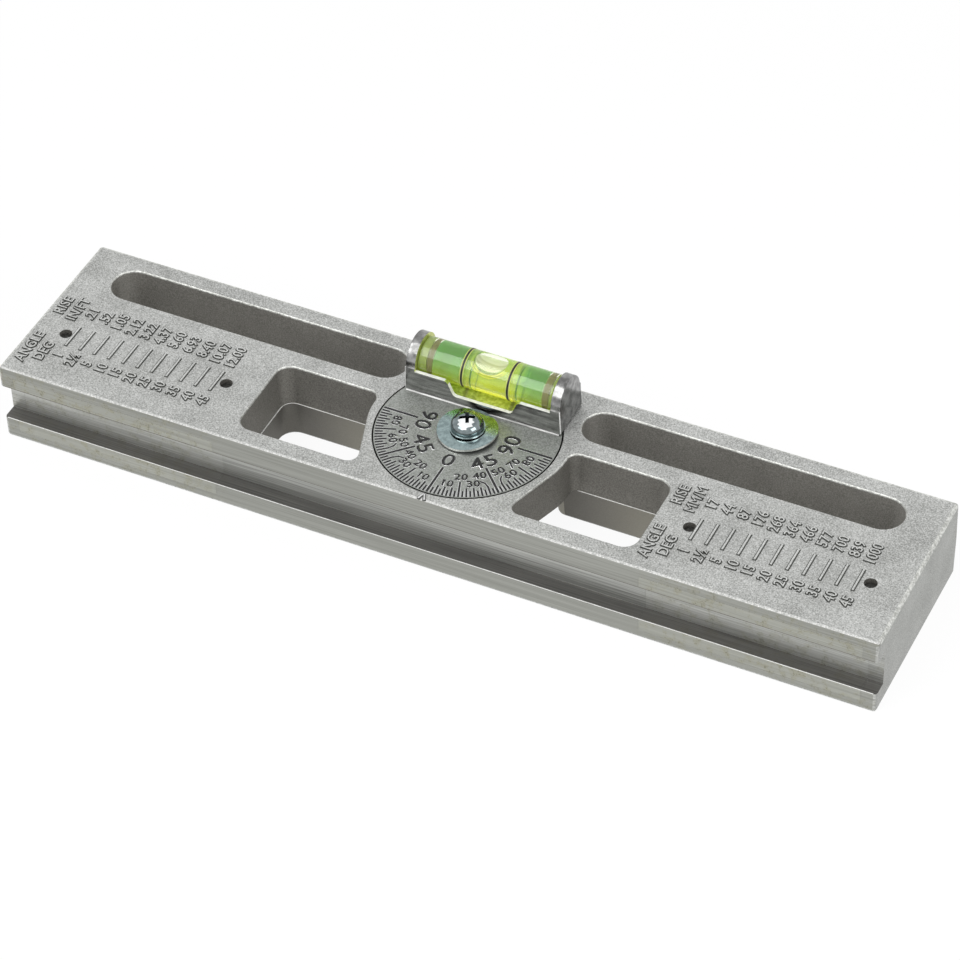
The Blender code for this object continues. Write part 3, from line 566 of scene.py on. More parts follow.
def table_meshes(table, spread, rise):
    """Every figure, line and unit mark of one table, each wider all round by the spread."""
    def raised(text, x, y):
        return figure(text, FIGURE_HEIGHT, FIGURE_WIDTH_SHARE, (x, y), QUARTER, rise, FIGURE_SLOPE + spread,
                      M_WEIGHT if "M" in text else 0.0)

    made = []
    for row, angle in enumerate(ANGLES):
        x = table["first"] + row * ROW_PITCH
        made.append(raised(angle_text(angle), x, ANGLE_ROW_Y))
        made.append(raised(table["rise"](math.tan(math.radians(angle))), x, RISE_ROW_Y))
        made.append(stroke((x, LINE_FRONT_Y - spread), (x, LINE_BACK_Y + spread),
                           LINE_STROKE + LINE_SPREAD * spread, rise, FIGURE_SLOPE + spread))
    made += [raised(table["unit"], table["unit_x"], RISE_ROW_Y), raised("DEG", table["unit_x"], ANGLE_ROW_Y),
             raised("RISE", table["name_x"], RISE_ROW_Y), raised("ANGLE", table["name_x"], ANGLE_ROW_Y)]
    return made


def raised_finish(top):
    """The tops are blasted like the face; the sides are painted shade."""
    return lambda centre, normal: top if normal.z > 0.9 else FIGURE_PAINTED_SHADE


# Under each table lies a slightly wider copy of its figures: a band of painted shade round each figure.
for side, table in TABLES.items():
    seat(joined(f"table_{side}_painted_shade", table_meshes(table, SHADE_BAND_WIDTH, SHADE_BAND_RISE), [FIGURE_PAINTED_SHADE]),
         "frame", "cast_aluminium")
    item = joined(f"table_{side}", table_meshes(table, 0.0, FIGURE_RISE), [FIGURE_TOP, FIGURE_PAINTED_SHADE],
                  raised_finish(FIGURE_TOP))
    seat(item, "frame", "cast_aluminium")
    print("table", side, "has", len(item.data.polygons), "faces")

# %% [markdown]
# The mark that the dial is read against is a small peak on the front of the bar, right below the dial. It is two
# raised strokes that meet, their tops painted as a bright highlight, with a band of painted shade round them.

# %% The reading mark
MARK_TOP_Y = -22.95 * MM
MARK_FOOT_Y = EDGE + 0.2 * MM
MARK_FEET = (-0.7 * MM, 0.95 * MM)
MARK_STROKE = 0.6 * MM
MARK_SLOPE = 0.12 * MM
for name, spread, rise, materials in (("reading_mark_crease", SHADE_BAND_WIDTH, SHADE_BAND_RISE, [FIGURE_PAINTED_SHADE]),
                                      ("reading_mark", 0.0, FIGURE_RISE, [RIM_PAINTED_HIGHLIGHT, FIGURE_PAINTED_SHADE])):
    peak = [stroke((0, MARK_TOP_Y), (foot, MARK_FOOT_Y), MARK_STROKE + 2 * spread, rise, MARK_SLOPE + spread)
            for foot in MARK_FEET]
    seat(joined(name, peak, materials, raised_finish(materials[0])), "frame", "cast_aluminium")

# %% [markdown]
# ## The dial
# The dial reads 90-0-90, with a line every two and a half degrees. Longer lines mark every fifth degree, the longest
# the ones with large figures. Every mark is placed by an angle from the front and a distance from the pivot, mirrored
# left and right, and its figure stands with its head toward the pivot. Cutting throws up a burr on both sides of a
# mark, and a thin light edge follows each black line: the burr with a painted highlight.

# %% Places of the marks
TICK_STEP = 2.5
TICK_STROKE = 0.5 * MM
GREAT_STROKE = 0.6 * MM
TICK_END = DIAL_RADIUS - 0.3 * MM
TICK_START = 20.2 * MM
FIVE_START = 19.25 * MM
TWENTY_START = 17.1 * MM
GREAT_START = 13.2 * MM
SMALL_HEIGHT = 2.15 * MM
GREAT_HEIGHT = 4.1 * MM
SMALL_WEIGHT = 0.07 * MM
GREAT_WEIGHT = 0.055 * MM
SMALL_WIDTH_SHARE = 1.08
GREAT_WIDTH_SHARE = 1.17
BURR = 0.12 * MM
BURR_RISE = 0.006 * MM
FILL_RISE = 0.05 * MM
# (angle shown, angle on the dial, distance from the pivot)
SMALL_FIGURES = ((10, 10, 17.9 * MM), (20, 20, 15.3 * MM), (30, 30, 17.7 * MM), (40, 36.3, 15.2 * MM),
                 (50, 53.3, 15.3 * MM), (60, 60, 17.7 * MM), (70, 70, 15.3 * MM), (80, 80, 17.5 * MM))
GREAT_FIGURES = ((45, 46, 10.9 * MM), (90, 90, 10.8 * MM))
LEADERS = (((35.5, 17.2), (38.8, 18.0), (39.9, 19.3)), ((53.3, 17.2), (51.0, 18.0), (50.1, 19.3)))


def on_dial(angle, radius):
    """The point at an angle from the front, counted to the right."""
    return radius * math.sin(math.radians(angle)), -radius * math.cos(math.radians(angle))


def tick_start(angle):
    if angle % 45 == 0:
        return GREAT_START
    if angle in (20, 70):
        return TWENTY_START
    return FIVE_START if angle % 5 == 0 else TICK_START


def dial_meshes(grow, rise):
    """Every mark of the dial, each stroke wider by grow on both sides."""
    def number(value, angle, radius, height):
        weight, share = ((SMALL_WEIGHT, SMALL_WIDTH_SHARE) if height == SMALL_HEIGHT
                         else (GREAT_WEIGHT, GREAT_WIDTH_SHARE))
        return figure(str(value), height, share, on_dial(angle, radius), math.radians(angle), rise, weight + grow)

    def line(inner, outer, width):
        return stroke(inner, outer, width + 2 * grow, rise)

    made = [number(0, 0, 10.3 * MM, GREAT_HEIGHT)]
    for step in range(int(90 / TICK_STEP) + 1):
        angle = step * TICK_STEP
        for side in ((-1, 1) if angle else (1,)):
            made.append(line(on_dial(side * angle, tick_start(angle)), on_dial(side * angle, TICK_END),
                             TICK_STROKE if angle % 45 else GREAT_STROKE))
    for side in (-1, 1):
        made += [number(value, side * angle, radius, SMALL_HEIGHT) for value, angle, radius in SMALL_FIGURES]
        made += [number(value, side * angle, radius, GREAT_HEIGHT) for value, angle, radius in GREAT_FIGURES]
        for leader in LEADERS:
            points = [on_dial(side * angle, radius * MM) for angle, radius in leader]
            made += [line(a, b, TICK_STROKE * 0.8) for a, b in zip(points, points[1:])]
    return made


# %% The dial casting and its marks
HOUSING_FRONT = 8 * MM
HOUSING_END = 20 * MM
TROUGH_END = 17.8 * MM
WALL_TOP = 28.5 * MM
SILL_LEVEL = 24.2 * MM
CORNER = 0.3 * MM
TROUGH_RADIUS = 5.8 * MM
DIAL_FINISHES = [POLISHED, SATIN, RIM_WEAR_AND_HIGHLIGHT, CHEEK, TROUGH_DYE_REFLECTION]


def dial_finish(centre, normal):
    """Satin on the flat; painted highlights on the rims of the walls, the trough's sill and the front edges of the
    cheeks; a painted reflection of the dye in the trough; mottled on the cheeks.
    """
    if normal.z > 0.99 and abs(centre.z - FACE) < 0.05 * MM:
        return SATIN
    away = abs(centre.x)
    if away < TROUGH_END and math.hypot(centre.y - VIAL_AXIS.y, centre.z - VIAL_AXIS.z) < TROUGH_RADIUS:
        return RIM_WEAR_AND_HIGHLIGHT if normal.z > 0.98 and centre.z > SILL_LEVEL else TROUGH_DYE_REFLECTION
    if away < TROUGH_END and normal.z > 0.25 and SILL_LEVEL < centre.z < WALL_TOP:
        return RIM_WEAR_AND_HIGHLIGHT
    if away > HOUSING_END and centre.y < HOUSING_FRONT + CORNER and centre.z > FACE + CORNER:
        return RIM_WEAR_AND_HIGHLIGHT
    return CHEEK if away > TROUGH_END - 0.1 * MM and centre.z > FACE + CORNER else POLISHED


dial = copy_of("dial_housing", "dial")
paint(dial, DIAL_FINISHES, dial_finish)
shade(dial, 40)
seat(dial, "dial", "polished_casting", "dial_housing")
seat(joined("dial_mark_edges", dial_meshes(BURR, BURR_RISE), [RIM_PAINTED_HIGHLIGHT]), "dial", "polished_casting")
fill = joined("dial_mark_fill", dial_meshes(0.0, FILL_RISE), [ENAMEL])
seat(fill, "dial", "polished_casting")
print("the marks have", len(fill.data.polygons), "faces")

# %% [markdown]
# ## Magnets and their plates
# A bar magnet lies between two steel plates that carry its pull to the edge, and all of it is ground flush with
# the bar after it is pressed in. Pressed in and ground over, the joints almost close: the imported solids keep
# a gap that physics needs, so these copies grow until only a hairline is left.

# %% Plates and magnets with hairline joints
def grown(low, high, sides, outward):
    """A change that moves the ends of a box outward along X, and its lower and upper side along Z."""
    middle = (low + high) / 2

    def change(co):
        lift = sides[1] if co.z > middle.z else -sides[0]
        return Vector((co.x + math.copysign(outward, co.x - middle.x), co.y, co.z + lift))
    return change


HAIRLINE = 0.03 * MM
JOINT = 0.3 * MM
for side in ("left", "right"):
    pieces = {f"magnet_{side}": (MAGNET, (JOINT - HAIRLINE,) * 2, "magnet"),
              f"pole_plate_{side}_lower": (PLATE, (JOINT - HAIRLINE, 0.0), "pole_plate"),
              f"pole_plate_{side}_upper": (PLATE, (0.0, JOINT - HAIRLINE), "pole_plate")}
    for node, (material, sides, slot) in pieces.items():
        low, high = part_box(node)
        item = copy_of(node, f"{node}_ground", grown(low, high, sides, JOINT - HAIRLINE))
        # Upward faces of the plates and magnets lie in the sill and get its painted shade.
        paint(item, [material, SILL_PAINTED_SHADE], lambda centre, normal: SILL_PAINTED_SHADE if normal.z > 0.5 else material)
        shade(item)
        seat(item, "frame", slot, node)

# %% [markdown]
# The front edge of the sill is rubbed and carries a painted highlight, and a painted shadow lies under the lip of the
# groove. Both are narrower than any face of the solid, so each is a strip of its own, a hair thick, that lies on the
# face.

# %% The rubbed edge of the sill with its painted highlight, and the painted shadow under the lip
STRIP_END = HALF_LENGTH - RIM_DEPTH
RUBBED_WIDTH = 0.24 * MM
RUBBED_RISE = 0.02 * MM
SILL_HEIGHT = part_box("pole_plate_left_lower")[1].z
LIP_WIDTH = 0.2 * MM
LIP_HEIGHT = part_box("pole_plate_left_upper")[0].z + 0.12 * MM

middle = EDGE + RUBBED_WIDTH / 2
rubbed_and_highlight_strip = stroke((-STRIP_END, middle), (STRIP_END, middle), RUBBED_WIDTH, RUBBED_RISE, level=SILL_HEIGHT)
seat(joined("sill_edge", [rubbed_and_highlight_strip], [RIM_WEAR_AND_HIGHLIGHT]), "frame", "cast_aluminium")
lip_shadow = stroke((-STRIP_END, 0.0), (STRIP_END, 0.0), LIP_WIDTH, TOUCH, level=0.0)
lip_shadow.transform(Matrix.Translation((0, EDGE, LIP_HEIGHT)) @ Matrix.Rotation(QUARTER, 4, "X"))
seat(joined("lip_line", [lip_shadow], [CORED]), "frame", "cast_aluminium")
print("the sill is at", round(SILL_HEIGHT / MM, 2), "and the lip at", round(LIP_HEIGHT / MM, 2))

# %% [markdown]
# ## The vial
# A spirit vial is a clear acrylic tube, closed at both ends and filled with a yellow-green alcohol with a bubble left
# in it. Light goes through several layers, so each layer is its own body: tube, liquid, bubble, ring marks, end caps
# and the seals behind them. The liquid reaches a hair past the tube's bore, because two glassy surfaces with air
# between them would mirror like a wet window. The dye is fluorescent, and its glow is painted as a faint emission.
# Light and shade are painted into the liquid's colour too: greener at the top, where the light first meets it,
# yellower below, where it has passed through more of the dye, and brighter yellow in the middle, where the notch lets
# light in from behind. So the liquid is part clear and part coloured, with its colour changing along its height and
# its length.

# %% Clear and coloured materials of the vial
DYE_TOP = VIAL_AXIS.z + 3.6 * MM
DYE_FOOT = VIAL_AXIS.z - 3.2 * MM
MIDDLE_FULL = 5.8 * MM
MIDDLE_END = 8.0 * MM
MIDDLE_SHIFT = 1.2 * MM
PAINTED_FAR_RING_SHIFT = 2.1 * MM
PAINTED_FAR_RING_HALF = 0.19 * MM
PAINTED_GLOW = 0.155
BORE_RADIUS = 3.9 * MM
BUBBLE_HALF = 4.1 * MM
BUBBLE_SIDE = 3.0 * MM
BUBBLE_DEPTH = 1.9 * MM


def distance_along(tree, value, place):
    shifted = add_node(tree, "ShaderNodeMath", [(0, value), (1, place)], operation="SUBTRACT")
    return add_node(tree, "ShaderNodeMath", [(0, shifted)], operation="ABSOLUTE")


def meniscus(tree, split, colour):
    """Painted bright and dark crescents in front of the bubble: the light that the meniscus bends where the liquid
    climbs toward its edge.
    """
    ahead = add_node(tree, "ShaderNodeMath", [(0, VIAL_AXIS.y), (1, split.outputs["Y"])], operation="SUBTRACT")
    above = add_node(tree, "ShaderNodeMath", [(0, split.outputs["Z"]), (1, VIAL_AXIS.z)], operation="SUBTRACT")
    angle = add_node(tree, "ShaderNodeMath", [(0, ahead), (1, above)], operation="ARCTAN2")
    across = add_node(tree, "ShaderNodeMath", [(0, angle), (1, math.asin(BUBBLE_SIDE / BORE_RADIUS))],
                      operation="DIVIDE")
    along = add_node(tree, "ShaderNodeMath", [(0, split.outputs["X"]), (1, BUBBLE_HALF)], operation="DIVIDE")
    both = add_node(tree, "ShaderNodeCombineXYZ", [("X", along), ("Y", across)])
    reach = add_node(tree, "ShaderNodeVectorMath", [(0, both)], operation="LENGTH").outputs["Value"]
    outward = add_node(tree, "ShaderNodeMapRange", [("Value", reach), ("From Min", 1.0), ("From Max", 1.4)])
    tone = add_node(tree, "ShaderNodeValToRGB", [("Fac", outward)],
                    stops=[(0.0, "#6f9140"), (0.1, "#f6ee48"), (0.28, "#f6ee48"), (0.36, "#86ac40"),
                           (0.46, "#f3ee4e"), (0.62, "#f3ee4e"), (0.7, "#93b646"), (1.0, "#b8cc50")])
    front = add_node(tree, "ShaderNodeMapRange", [("Value", across), ("From Min", 0.25), ("From Max", 0.75),
                                                  ("To Max", 0.85)])
    near = add_node(tree, "ShaderNodeMapRange", [("Value", reach), ("From Min", 1.25), ("From Max", 1.4),
                                                 ("To Min", 1.0), ("To Max", 0.0)])
    share = add_node(tree, "ShaderNodeMath", [(0, front), (1, near)], operation="MULTIPLY")
    return add_node(tree, "ShaderNodeMix", [(0, share), (6, colour), (7, tone)], data_type="RGBA").outputs[2]


def dyed_alcohol():
    material, tree, shader = new_surface("dyed_alcohol", Roughness=0.02, Transmission_Weight=0.8, IOR=1.36)
    place = add_node(tree, "ShaderNodeTexCoord").outputs["Object"]
    split = add_node(tree, "ShaderNodeSeparateXYZ", [("Vector", place)])
    height = add_node(tree, "ShaderNodeMapRange", [("Value", split.outputs["Z"]), ("From Min", DYE_FOOT),
                                                   ("From Max", DYE_TOP)])
    # Painted light: the ends darker and greener, the middle brighter and yellower, both greener toward the top.
    ends = add_node(tree, "ShaderNodeValToRGB", [("Fac", height)],
                    stops=[(0.0, "#bfc444"), (0.4, "#9dbd50"), (0.7, "#80b663"), (0.88, "#62b068"), (1.0, "#52a860")])
    centre = add_node(tree, "ShaderNodeValToRGB", [("Fac", height)],
                      stops=[(0.0, "#ebe44c"), (0.45, "#ced857"), (0.75, "#b6d268"), (1.0, "#a8d066")])
    away = distance_along(tree, split.outputs["X"], MIDDLE_SHIFT)
    edge = add_node(tree, "ShaderNodeMapRange", [("Value", away), ("From Min", MIDDLE_FULL),
                                                 ("From Max", MIDDLE_END)])
    colour = add_node(tree, "ShaderNodeMix", [(0, edge), (6, centre), (7, ends)], data_type="RGBA").outputs[2]
    # Beside each ring a darker green line is painted on the liquid: a painted image of the ring's far half, seen
    # through the dye.
    for side in ("left", "right"):
        low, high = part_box(f"vial_ring_{side}")
        gap = distance_along(tree, split.outputs["X"], (low.x + high.x) / 2 + PAINTED_FAR_RING_SHIFT)
        line = add_node(tree, "ShaderNodeMapRange", [("Value", gap), ("From Min", PAINTED_FAR_RING_HALF * 0.5),
                                                     ("From Max", PAINTED_FAR_RING_HALF * 1.3), ("To Min", 0.95),
                                                     ("To Max", 0.0)])
        colour = add_node(tree, "ShaderNodeMix", [(0, line), (6, colour), (7, linear("#2f8350"))],
                          data_type="RGBA").outputs[2]
    colour = meniscus(tree, split, colour)
    set_inputs(shader, [("Base Color", colour), ("Emission Color", colour), ("Emission Strength", PAINTED_GLOW)])
    return material


# The tube glows faintly yellow-green: painted light from the dye that the acrylic carries.
TUBE = new_surface("acrylic_clear_tube", Base_Color=linear("#f8fbf4"), Roughness=0.015, Transmission_Weight=1.0,
                   IOR=1.49, Emission_Color=linear("#b3bf45"), Emission_Strength=0.08)[0]
LIQUID = dyed_alcohol()


def bubble_wall():
    """The inside of the bubble, painted with light: pale, with painted streaks of what lies behind, a painted yellow
    along its front, and a faint painted glow.
    """
    material, tree, shader = new_surface("bubble_wall", Roughness=0.04, Transmission_Weight=0.5, IOR=1.36)
    place = add_node(tree, "ShaderNodeTexCoord").outputs["Object"]
    depth = add_node(tree, "ShaderNodeSeparateXYZ", [("Vector", place)]).outputs["Y"]
    share = add_node(tree, "ShaderNodeMapRange", [("Value", depth), ("From Min", VIAL_AXIS.y - BUBBLE_SIDE),
                                                  ("From Max", VIAL_AXIS.y + BUBBLE_SIDE)])
    tone = add_node(tree, "ShaderNodeValToRGB", [("Fac", share)],
                    stops=[(0.0, "#e9ec3f"), (0.12, "#cfdf4a"), (0.2, "#eef0d8"), (0.4, "#dcdccb"), (0.47, "#b3b5a2"),
                           (0.54, "#e6e6da"), (0.66, "#b9bba8"), (0.72, "#eceee2"), (1.0, "#d5dcc0")])
    set_inputs(shader, [("Base Color", tone), ("Emission Color", tone), ("Emission Strength", PAINTED_GLOW)])
    return material


BUBBLE = bubble_wall()
CAP = new_surface("acrylic_end_cap", Base_Color=linear("#b0c765"), Roughness=0.15, Transmission_Weight=0.4,
                  IOR=1.49)[0]
SEAL = new_surface("brown_seal", Base_Color=linear("#847c4a"), Roughness=0.4, Transmission_Weight=0.2)[0]
RING = new_surface("black_ring_mark", Base_Color=linear("#0b0c0b"), Roughness=0.4)[0]
# Painted light: the yellow bands beside the rings, where the dye shines past the black.
RING_GLOW = new_surface("yellow_ring_edge", Base_Color=linear("#d9e07a"), Roughness=0.4,
                        Transmission_Weight=0.4)[0]

# %% [markdown]
# The tube, the caps, the seals and the rings are turned parts. Each is a profile of radius and distance, revolved
# about the vial's axis. The rings stand a hair proud of the tube, with a thin yellow band of painted light on both
# sides, where the dye shines past the black.

# %% Helpers for turned pieces
SIDES = 96


def turned(name, profile, place, closed):
    """Revolves (radius, distance) points; place(radius, distance, angle) gives a corner of the mesh."""
    work = bmesh.new()
    rings = [[work.verts.new(place(radius, distance, 2 * math.pi * step / SIDES)) for step in range(SIDES)]
             for radius, distance in profile]
    for first, second in zip(rings, rings[1:] + rings[:1] if closed else rings[1:]):
        for step in range(SIDES):
            after = (step + 1) % SIDES
            work.faces.new((first[step], first[after], second[after], second[step]))
    if not closed:
        work.faces.new(rings[0])
        work.faces.new(rings[-1])
    bmesh.ops.recalc_face_normals(work, faces=work.faces)
    return as_object(as_mesh(work, name), name)


def rounded(item, degrees=40):
    """Smooth shading that stops at edges sharper than the angle."""
    item.data.shade_smooth()
    item.data.set_sharp_from_angle(angle=math.radians(degrees))


def about_vial(radius, distance, angle):
    return distance, VIAL_AXIS.y + radius * math.sin(angle), VIAL_AXIS.z + radius * math.cos(angle)


def dress(item, material, slot, *nodes):
    item.data.materials.append(material)
    rounded(item)
    seat(item, "dial", slot, *nodes)


# %% The tube, the ring marks, the caps and the seals
END_ROUND = 0.3 * MM
RING_RISE = 0.03 * MM
RING_GROWTH = 0.06 * MM
RING_EDGE_WIDTH = 0.25 * MM
SEAL_PRESS = 0.04 * MM


def plug(name, low, high):
    radius = BORE_RADIUS + TOUCH
    return turned(name, [(radius, low), (radius, high)], about_vial, closed=False)


def band(name, low, high, rise):
    outer, inner = VIAL_RADIUS + rise, VIAL_RADIUS - RING_RISE
    return turned(name, [(inner, low), (outer, low), (outer, high), (inner, high)], about_vial, closed=True)


tube = turned("clear_tube", [(BORE_RADIUS, -VIAL_HALF), (VIAL_RADIUS - END_ROUND, -VIAL_HALF),
                             (VIAL_RADIUS, END_ROUND - VIAL_HALF), (VIAL_RADIUS, VIAL_HALF - END_ROUND),
                             (VIAL_RADIUS - END_ROUND, VIAL_HALF), (BORE_RADIUS, VIAL_HALF)],
              about_vial, closed=True)
dress(tube, TUBE, "vial_tube", "vial_tube")
for side in ("left", "right"):
    low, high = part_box(f"vial_ring_{side}")
    low.x, high.x = low.x - RING_GROWTH, high.x + RING_GROWTH
    dress(band(f"ring_mark_{side}", low.x, high.x, RING_RISE), RING, "ring_mark", f"vial_ring_{side}")
    for end, start in (("left", low.x - RING_EDGE_WIDTH - TOUCH), ("right", high.x + TOUCH)):
        edge = band(f"ring_glow_{side}_{end}", start, start + RING_EDGE_WIDTH, RING_RISE / 2)
        dress(edge, RING_GLOW, "ring_mark")
    low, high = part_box(f"vial_cap_{side}")
    dress(plug(f"end_cap_{side}", low.x, high.x), CAP, "vial_cap", f"vial_cap_{side}")
    low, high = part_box(f"vial_seal_{side}")
    print("seal", side, [round(x / MM, 2) for x in (low.x, high.x)], "liquid ends at", round(LIQUID_HIGH.x / MM, 2))
    dress(plug(f"end_seal_{side}", low.x - SEAL_PRESS, high.x + SEAL_PRESS), SEAL, "seal", f"vial_seal_{side}")

# %% [markdown]
# The bubble is a real hollow in the liquid, so that light bends at its wall as it does in the vial. A flattened
# sphere is cut out of the top of the liquid, and the cut wall gets the bubble's material, whose pale tone, streaks
# and yellow front are painted light.

# %% The liquid with its bubble
def cut(item, mesh):
    """Cuts a closed mesh out of the item; the cut walls have the mesh's material."""
    cutter = as_object(mesh, "cutter")
    step = item.modifiers.new("cut", "BOOLEAN")
    step.operation, step.object, step.solver, step.material_mode = "DIFFERENCE", cutter, "EXACT", "TRANSFER"
    result = worked_out(item)
    item.modifiers.clear()
    item.data = result
    bpy.data.objects.remove(cutter)


liquid = plug("liquid", LIQUID_LOW.x, LIQUID_HIGH.x)
dress(liquid, LIQUID, "liquid", "vial_liquid")
work = bmesh.new()
bmesh.ops.create_uvsphere(work, u_segments=48, v_segments=32, radius=1)
bmesh.ops.scale(work, vec=(BUBBLE_HALF, BUBBLE_SIDE, BUBBLE_DEPTH), verts=work.verts)
bmesh.ops.translate(work, vec=VIAL_AXIS + Vector((0, 0, BORE_RADIUS)), verts=work.verts)
bubble = as_mesh(work, "bubble")
bubble.materials.append(BUBBLE)
cut(liquid, bubble)
rounded(liquid)
print("the liquid has", len(liquid.data.polygons), "faces and", len(liquid.data.materials), "finishes")

# %% [markdown]
# ## The pivot screw
# A chromed pan head screw holds the dial. Its head is a low dome with a rounded shoulder and a cross recess. The head
# is turned as a profile; the cross is cut out of it with two tapered blades, and the cut walls get a near-black
# chrome, a painted shade. One white patch on the front of the dome is a painted highlight, a set of faces in a
# brighter chrome.

# %% The screw with its cross recess
SCREW_LOW, SCREW_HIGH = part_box("pivot_screw")
SCREW_HEAD = 4.0 * MM
SCREW_SHANK = 1.9 * MM
SCREW_SEAT = 24.4 * MM
# (share of the head's radius, share of the head's height)
DOME = ((0.965, 0.0), (1.0, 0.1), (0.985, 0.3), (0.94, 0.46), (0.86, 0.62), (0.74, 0.77), (0.58, 0.88), (0.38, 0.96),
        (0.18, 0.99))
CROSS_ARM = 2.15 * MM
CROSS_TOP = 0.95 * MM
CROSS_FOOT = 0.5 * MM
CROSS_NARROWING = 0.45
CROSS_DEPTH = 1.9 * MM
CROSS_OVER = 0.3 * MM
CROSS_TURN = math.radians(26)
HIGHLIGHT_CENTRE = Vector((0.3 * MM, -1.4 * MM))
HIGHLIGHT_RADIUS = 1.8 * MM


def about_pivot(radius, distance, angle):
    return radius * math.cos(angle), radius * math.sin(angle), distance


def blade(turn):
    """One blade of the cross: wide and long at the top of the head, narrow and short at its foot."""
    rings = []
    for height, half, width in ((SCREW_HIGH.z + CROSS_OVER, CROSS_ARM, CROSS_TOP),
                                (SCREW_HIGH.z - CROSS_DEPTH, CROSS_ARM * CROSS_NARROWING, CROSS_FOOT)):
        side = width / 2
        rings.append([(-half, -side, height), (half, -side, height), (half, side, height), (-half, side, height)])
    work = between(rings)
    bmesh.ops.rotate(work, cent=(0, 0, 0), matrix=Matrix.Rotation(turn, 3, "Z"), verts=work.verts)
    mesh = as_mesh(work, "blade")
    mesh.materials.append(RECESS_SHADE)
    return mesh


head_height = SCREW_HIGH.z - SCREW_SEAT
profile = [(SCREW_SHANK, SCREW_LOW.z), (SCREW_SHANK, SCREW_SEAT)]
profile += [(SCREW_HEAD * wide, SCREW_SEAT + head_height * high) for wide, high in DOME]
screw = turned("pan_head_screw", profile, about_pivot, closed=False)
screw.data.materials.append(CHROME)
for turn in (CROSS_TURN, CROSS_TURN + QUARTER):
    cut(screw, blade(turn))
# Faces in a circle on the front of the dome take the painted highlight.
screw.data.materials.append(CHROME_PAINTED_HIGHLIGHT)
for face in screw.data.polygons:
    in_painted_highlight = face.center.z > SCREW_SEAT and (face.center.xy - HIGHLIGHT_CENTRE).length < HIGHLIGHT_RADIUS
    if face.material_index == 0 and in_painted_highlight:
        face.material_index = len(screw.data.materials) - 1
rounded(screw, 32)
seat(screw, "frame", "screw", "pivot_screw")
print("the screw has", len(screw.data.polygons), "faces")

# %% [markdown]
# Both washers are stamped from steel sheet and zinc plated, with a painted highlight round the edge of each. They
# keep their imported shape, the large one with its spring bend.

# %% The washers
for node in ("spring_washer", "head_washer"):
    washer = copy_of(node, f"{node}_zinc")
    paint(washer, [ZINC, RIM_PAINTED_HIGHLIGHT], lambda centre, normal: RIM_PAINTED_HIGHLIGHT if abs(normal.z) < 0.5 else ZINC)
    shade(washer, 40)
    seat(washer, "frame", "washer", node)

# %% [markdown]
# ## The pins
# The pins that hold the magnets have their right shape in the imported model. They only need their metal.

# %% Dress the pins
for side in ("left", "right"):
    for spot in ("inner", "outer"):
        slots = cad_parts[f"magnet_pin_{side}_{spot}"].data.materials
        for index in range(len(slots)):
            slots[index] = PIN_STEEL
        if not slots:
            slots.append(PIN_STEEL)

# %% [markdown]
# ## Floor, light and camera
# A plain white table and plain soft light, as in a catalogue. The floor shows white to the camera and in
# reflections and keeps a faint shadow. Two soft boxes give the metal something bright to reflect.

# %% The floor
WHITE = (1, 1, 1, 1)
FLOOR_GLOW_SHARE = 0.92
FLOOR_HALF = 3.0


def seen_as_white(tree):
    """1 for what the camera, a mirror or clear stuff shows, and 0 for what only lights the scene."""
    path = add_node(tree, "ShaderNodeLightPath")
    seen = add_node(tree, "ShaderNodeMath", [(0, path.outputs["Is Camera Ray"]), (1, path.outputs["Is Glossy Ray"])],
                    operation="MAXIMUM")
    return add_node(tree, "ShaderNodeMath", [(0, seen), (1, path.outputs["Is Transmission Ray"])],
                    operation="MAXIMUM")


def floor_material():
    material = bpy.data.materials.new("white_table")
    material.use_nodes = True
    tree = material.node_tree
    tree.nodes.clear()
    matt = add_node(tree, "ShaderNodeBsdfDiffuse", [("Color", WHITE)])
    glow = add_node(tree, "ShaderNodeEmission", [("Color", WHITE), ("Strength", 1.0)])
    part = add_node(tree, "ShaderNodeMixShader", [(0, FLOOR_GLOW_SHARE), (1, matt), (2, glow)])
    mix = add_node(tree, "ShaderNodeMixShader", [(0, seen_as_white(tree)), (1, matt), (2, part)])
    add_node(tree, "ShaderNodeOutputMaterial", [("Surface", mix)])
    return material


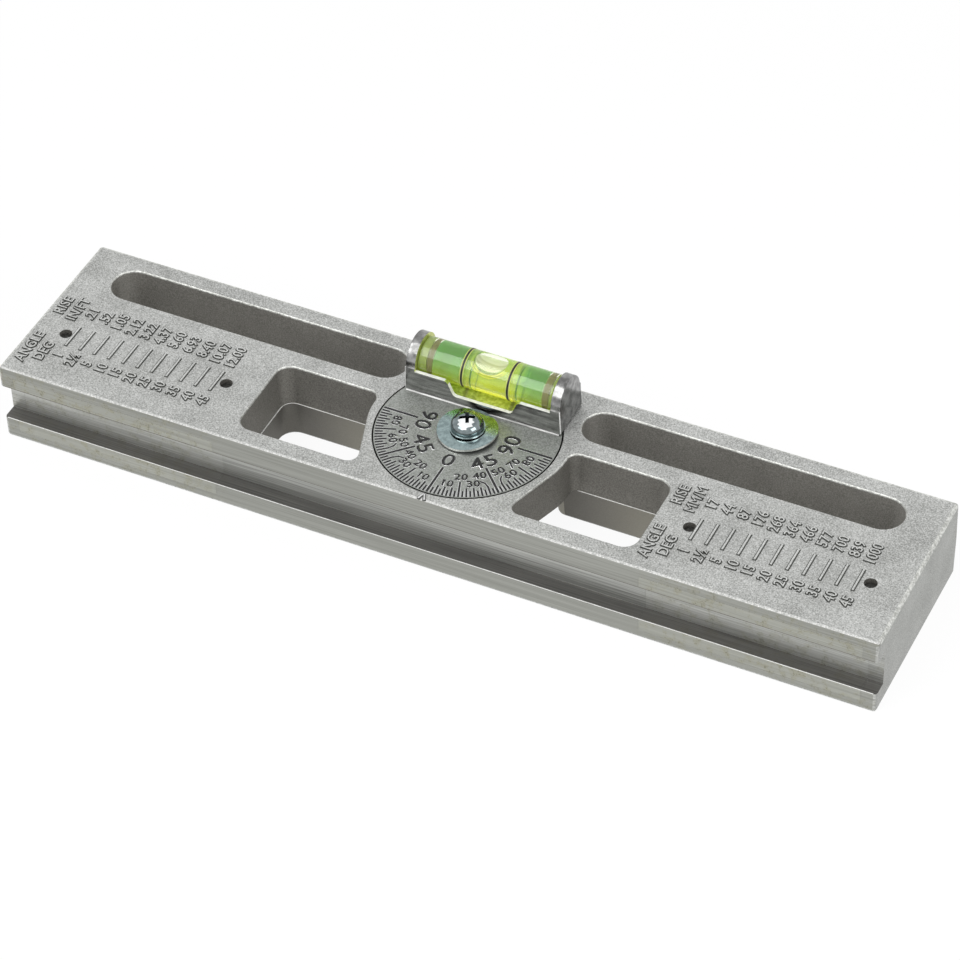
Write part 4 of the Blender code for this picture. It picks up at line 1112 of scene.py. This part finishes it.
work = bmesh.new()
bmesh.ops.create_grid(work, x_segments=1, y_segments=1, size=FLOOR_HALF)
table_top = as_object(as_mesh(work, "table"), "table")
table_top.data.materials.append(floor_material())
table_top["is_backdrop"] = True

# %% The world
WORLD_STRENGTH = 0.62
world = bpy.data.worlds.new("studio")
bpy.context.scene.world = world
world.use_nodes = True
tree = world.node_tree
tree.nodes.clear()
soft = add_node(tree, "ShaderNodeBackground", [("Color", WHITE), ("Strength", WORLD_STRENGTH)])
white = add_node(tree, "ShaderNodeBackground", [("Color", WHITE), ("Strength", 1.0)])
mix = add_node(tree, "ShaderNodeMixShader", [(0, seen_as_white(tree)), (1, soft), (2, white)])
add_node(tree, "ShaderNodeOutputWorld", [("Surface", mix)])

# %% The lamps
def soft_box(name, place, size, power):
    """A rectangular lamp that looks at the middle of the tool."""
    lamp = bpy.data.lights.new(name, "AREA")
    lamp.shape = "RECTANGLE"
    lamp.size, lamp.size_y = size
    lamp.energy = power
    item = as_object(lamp, name)
    item.location = place
    item.rotation_euler = (-Vector(place)).to_track_quat("-Z", "Y").to_euler()


soft_box("key_light", (-0.28, -0.5, 0.8), (0.6, 0.85), 5.0)
soft_box("fill_light", (0.45, -0.15, 0.32), (0.3, 0.3), 0.95)

# %% The camera
AZIMUTH = 27.2028
ELEVATION = 43.2866
ROLL = -2.1031
DISTANCE = 929.88 * MM
OFFSET = (2.3206 * MM, 4.9436 * MM)
FOCAL_PIXELS = 3864.57
IMAGE_PIXELS = 960

turn = math.radians(AZIMUTH)
rise = math.radians(ELEVATION)
back = Vector((math.sin(turn) * math.cos(rise), -math.cos(turn) * math.cos(rise), math.sin(rise)))
right = (-back).cross(Vector((0, 0, 1))).normalized()
up = right.cross(-back)
roll = math.radians(ROLL)
right, up = math.cos(roll) * right + math.sin(roll) * up, -math.sin(roll) * right + math.cos(roll) * up
camera = bpy.data.cameras.new("camera")
camera.sensor_width = 36.0
camera.lens = camera.sensor_width * FOCAL_PIXELS / IMAGE_PIXELS
camera.clip_start = 0.01
viewer = as_object(camera, "camera")
spot = back * DISTANCE + right * OFFSET[0] + up * OFFSET[1]
viewer.matrix_world = Matrix.Translation(spot) @ Matrix((right, up, back)).transposed().to_4x4()
bpy.context.scene.camera = viewer
bpy.context.scene.view_settings.view_transform = "Standard"

# %% Find the bounds and finish
low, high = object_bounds()
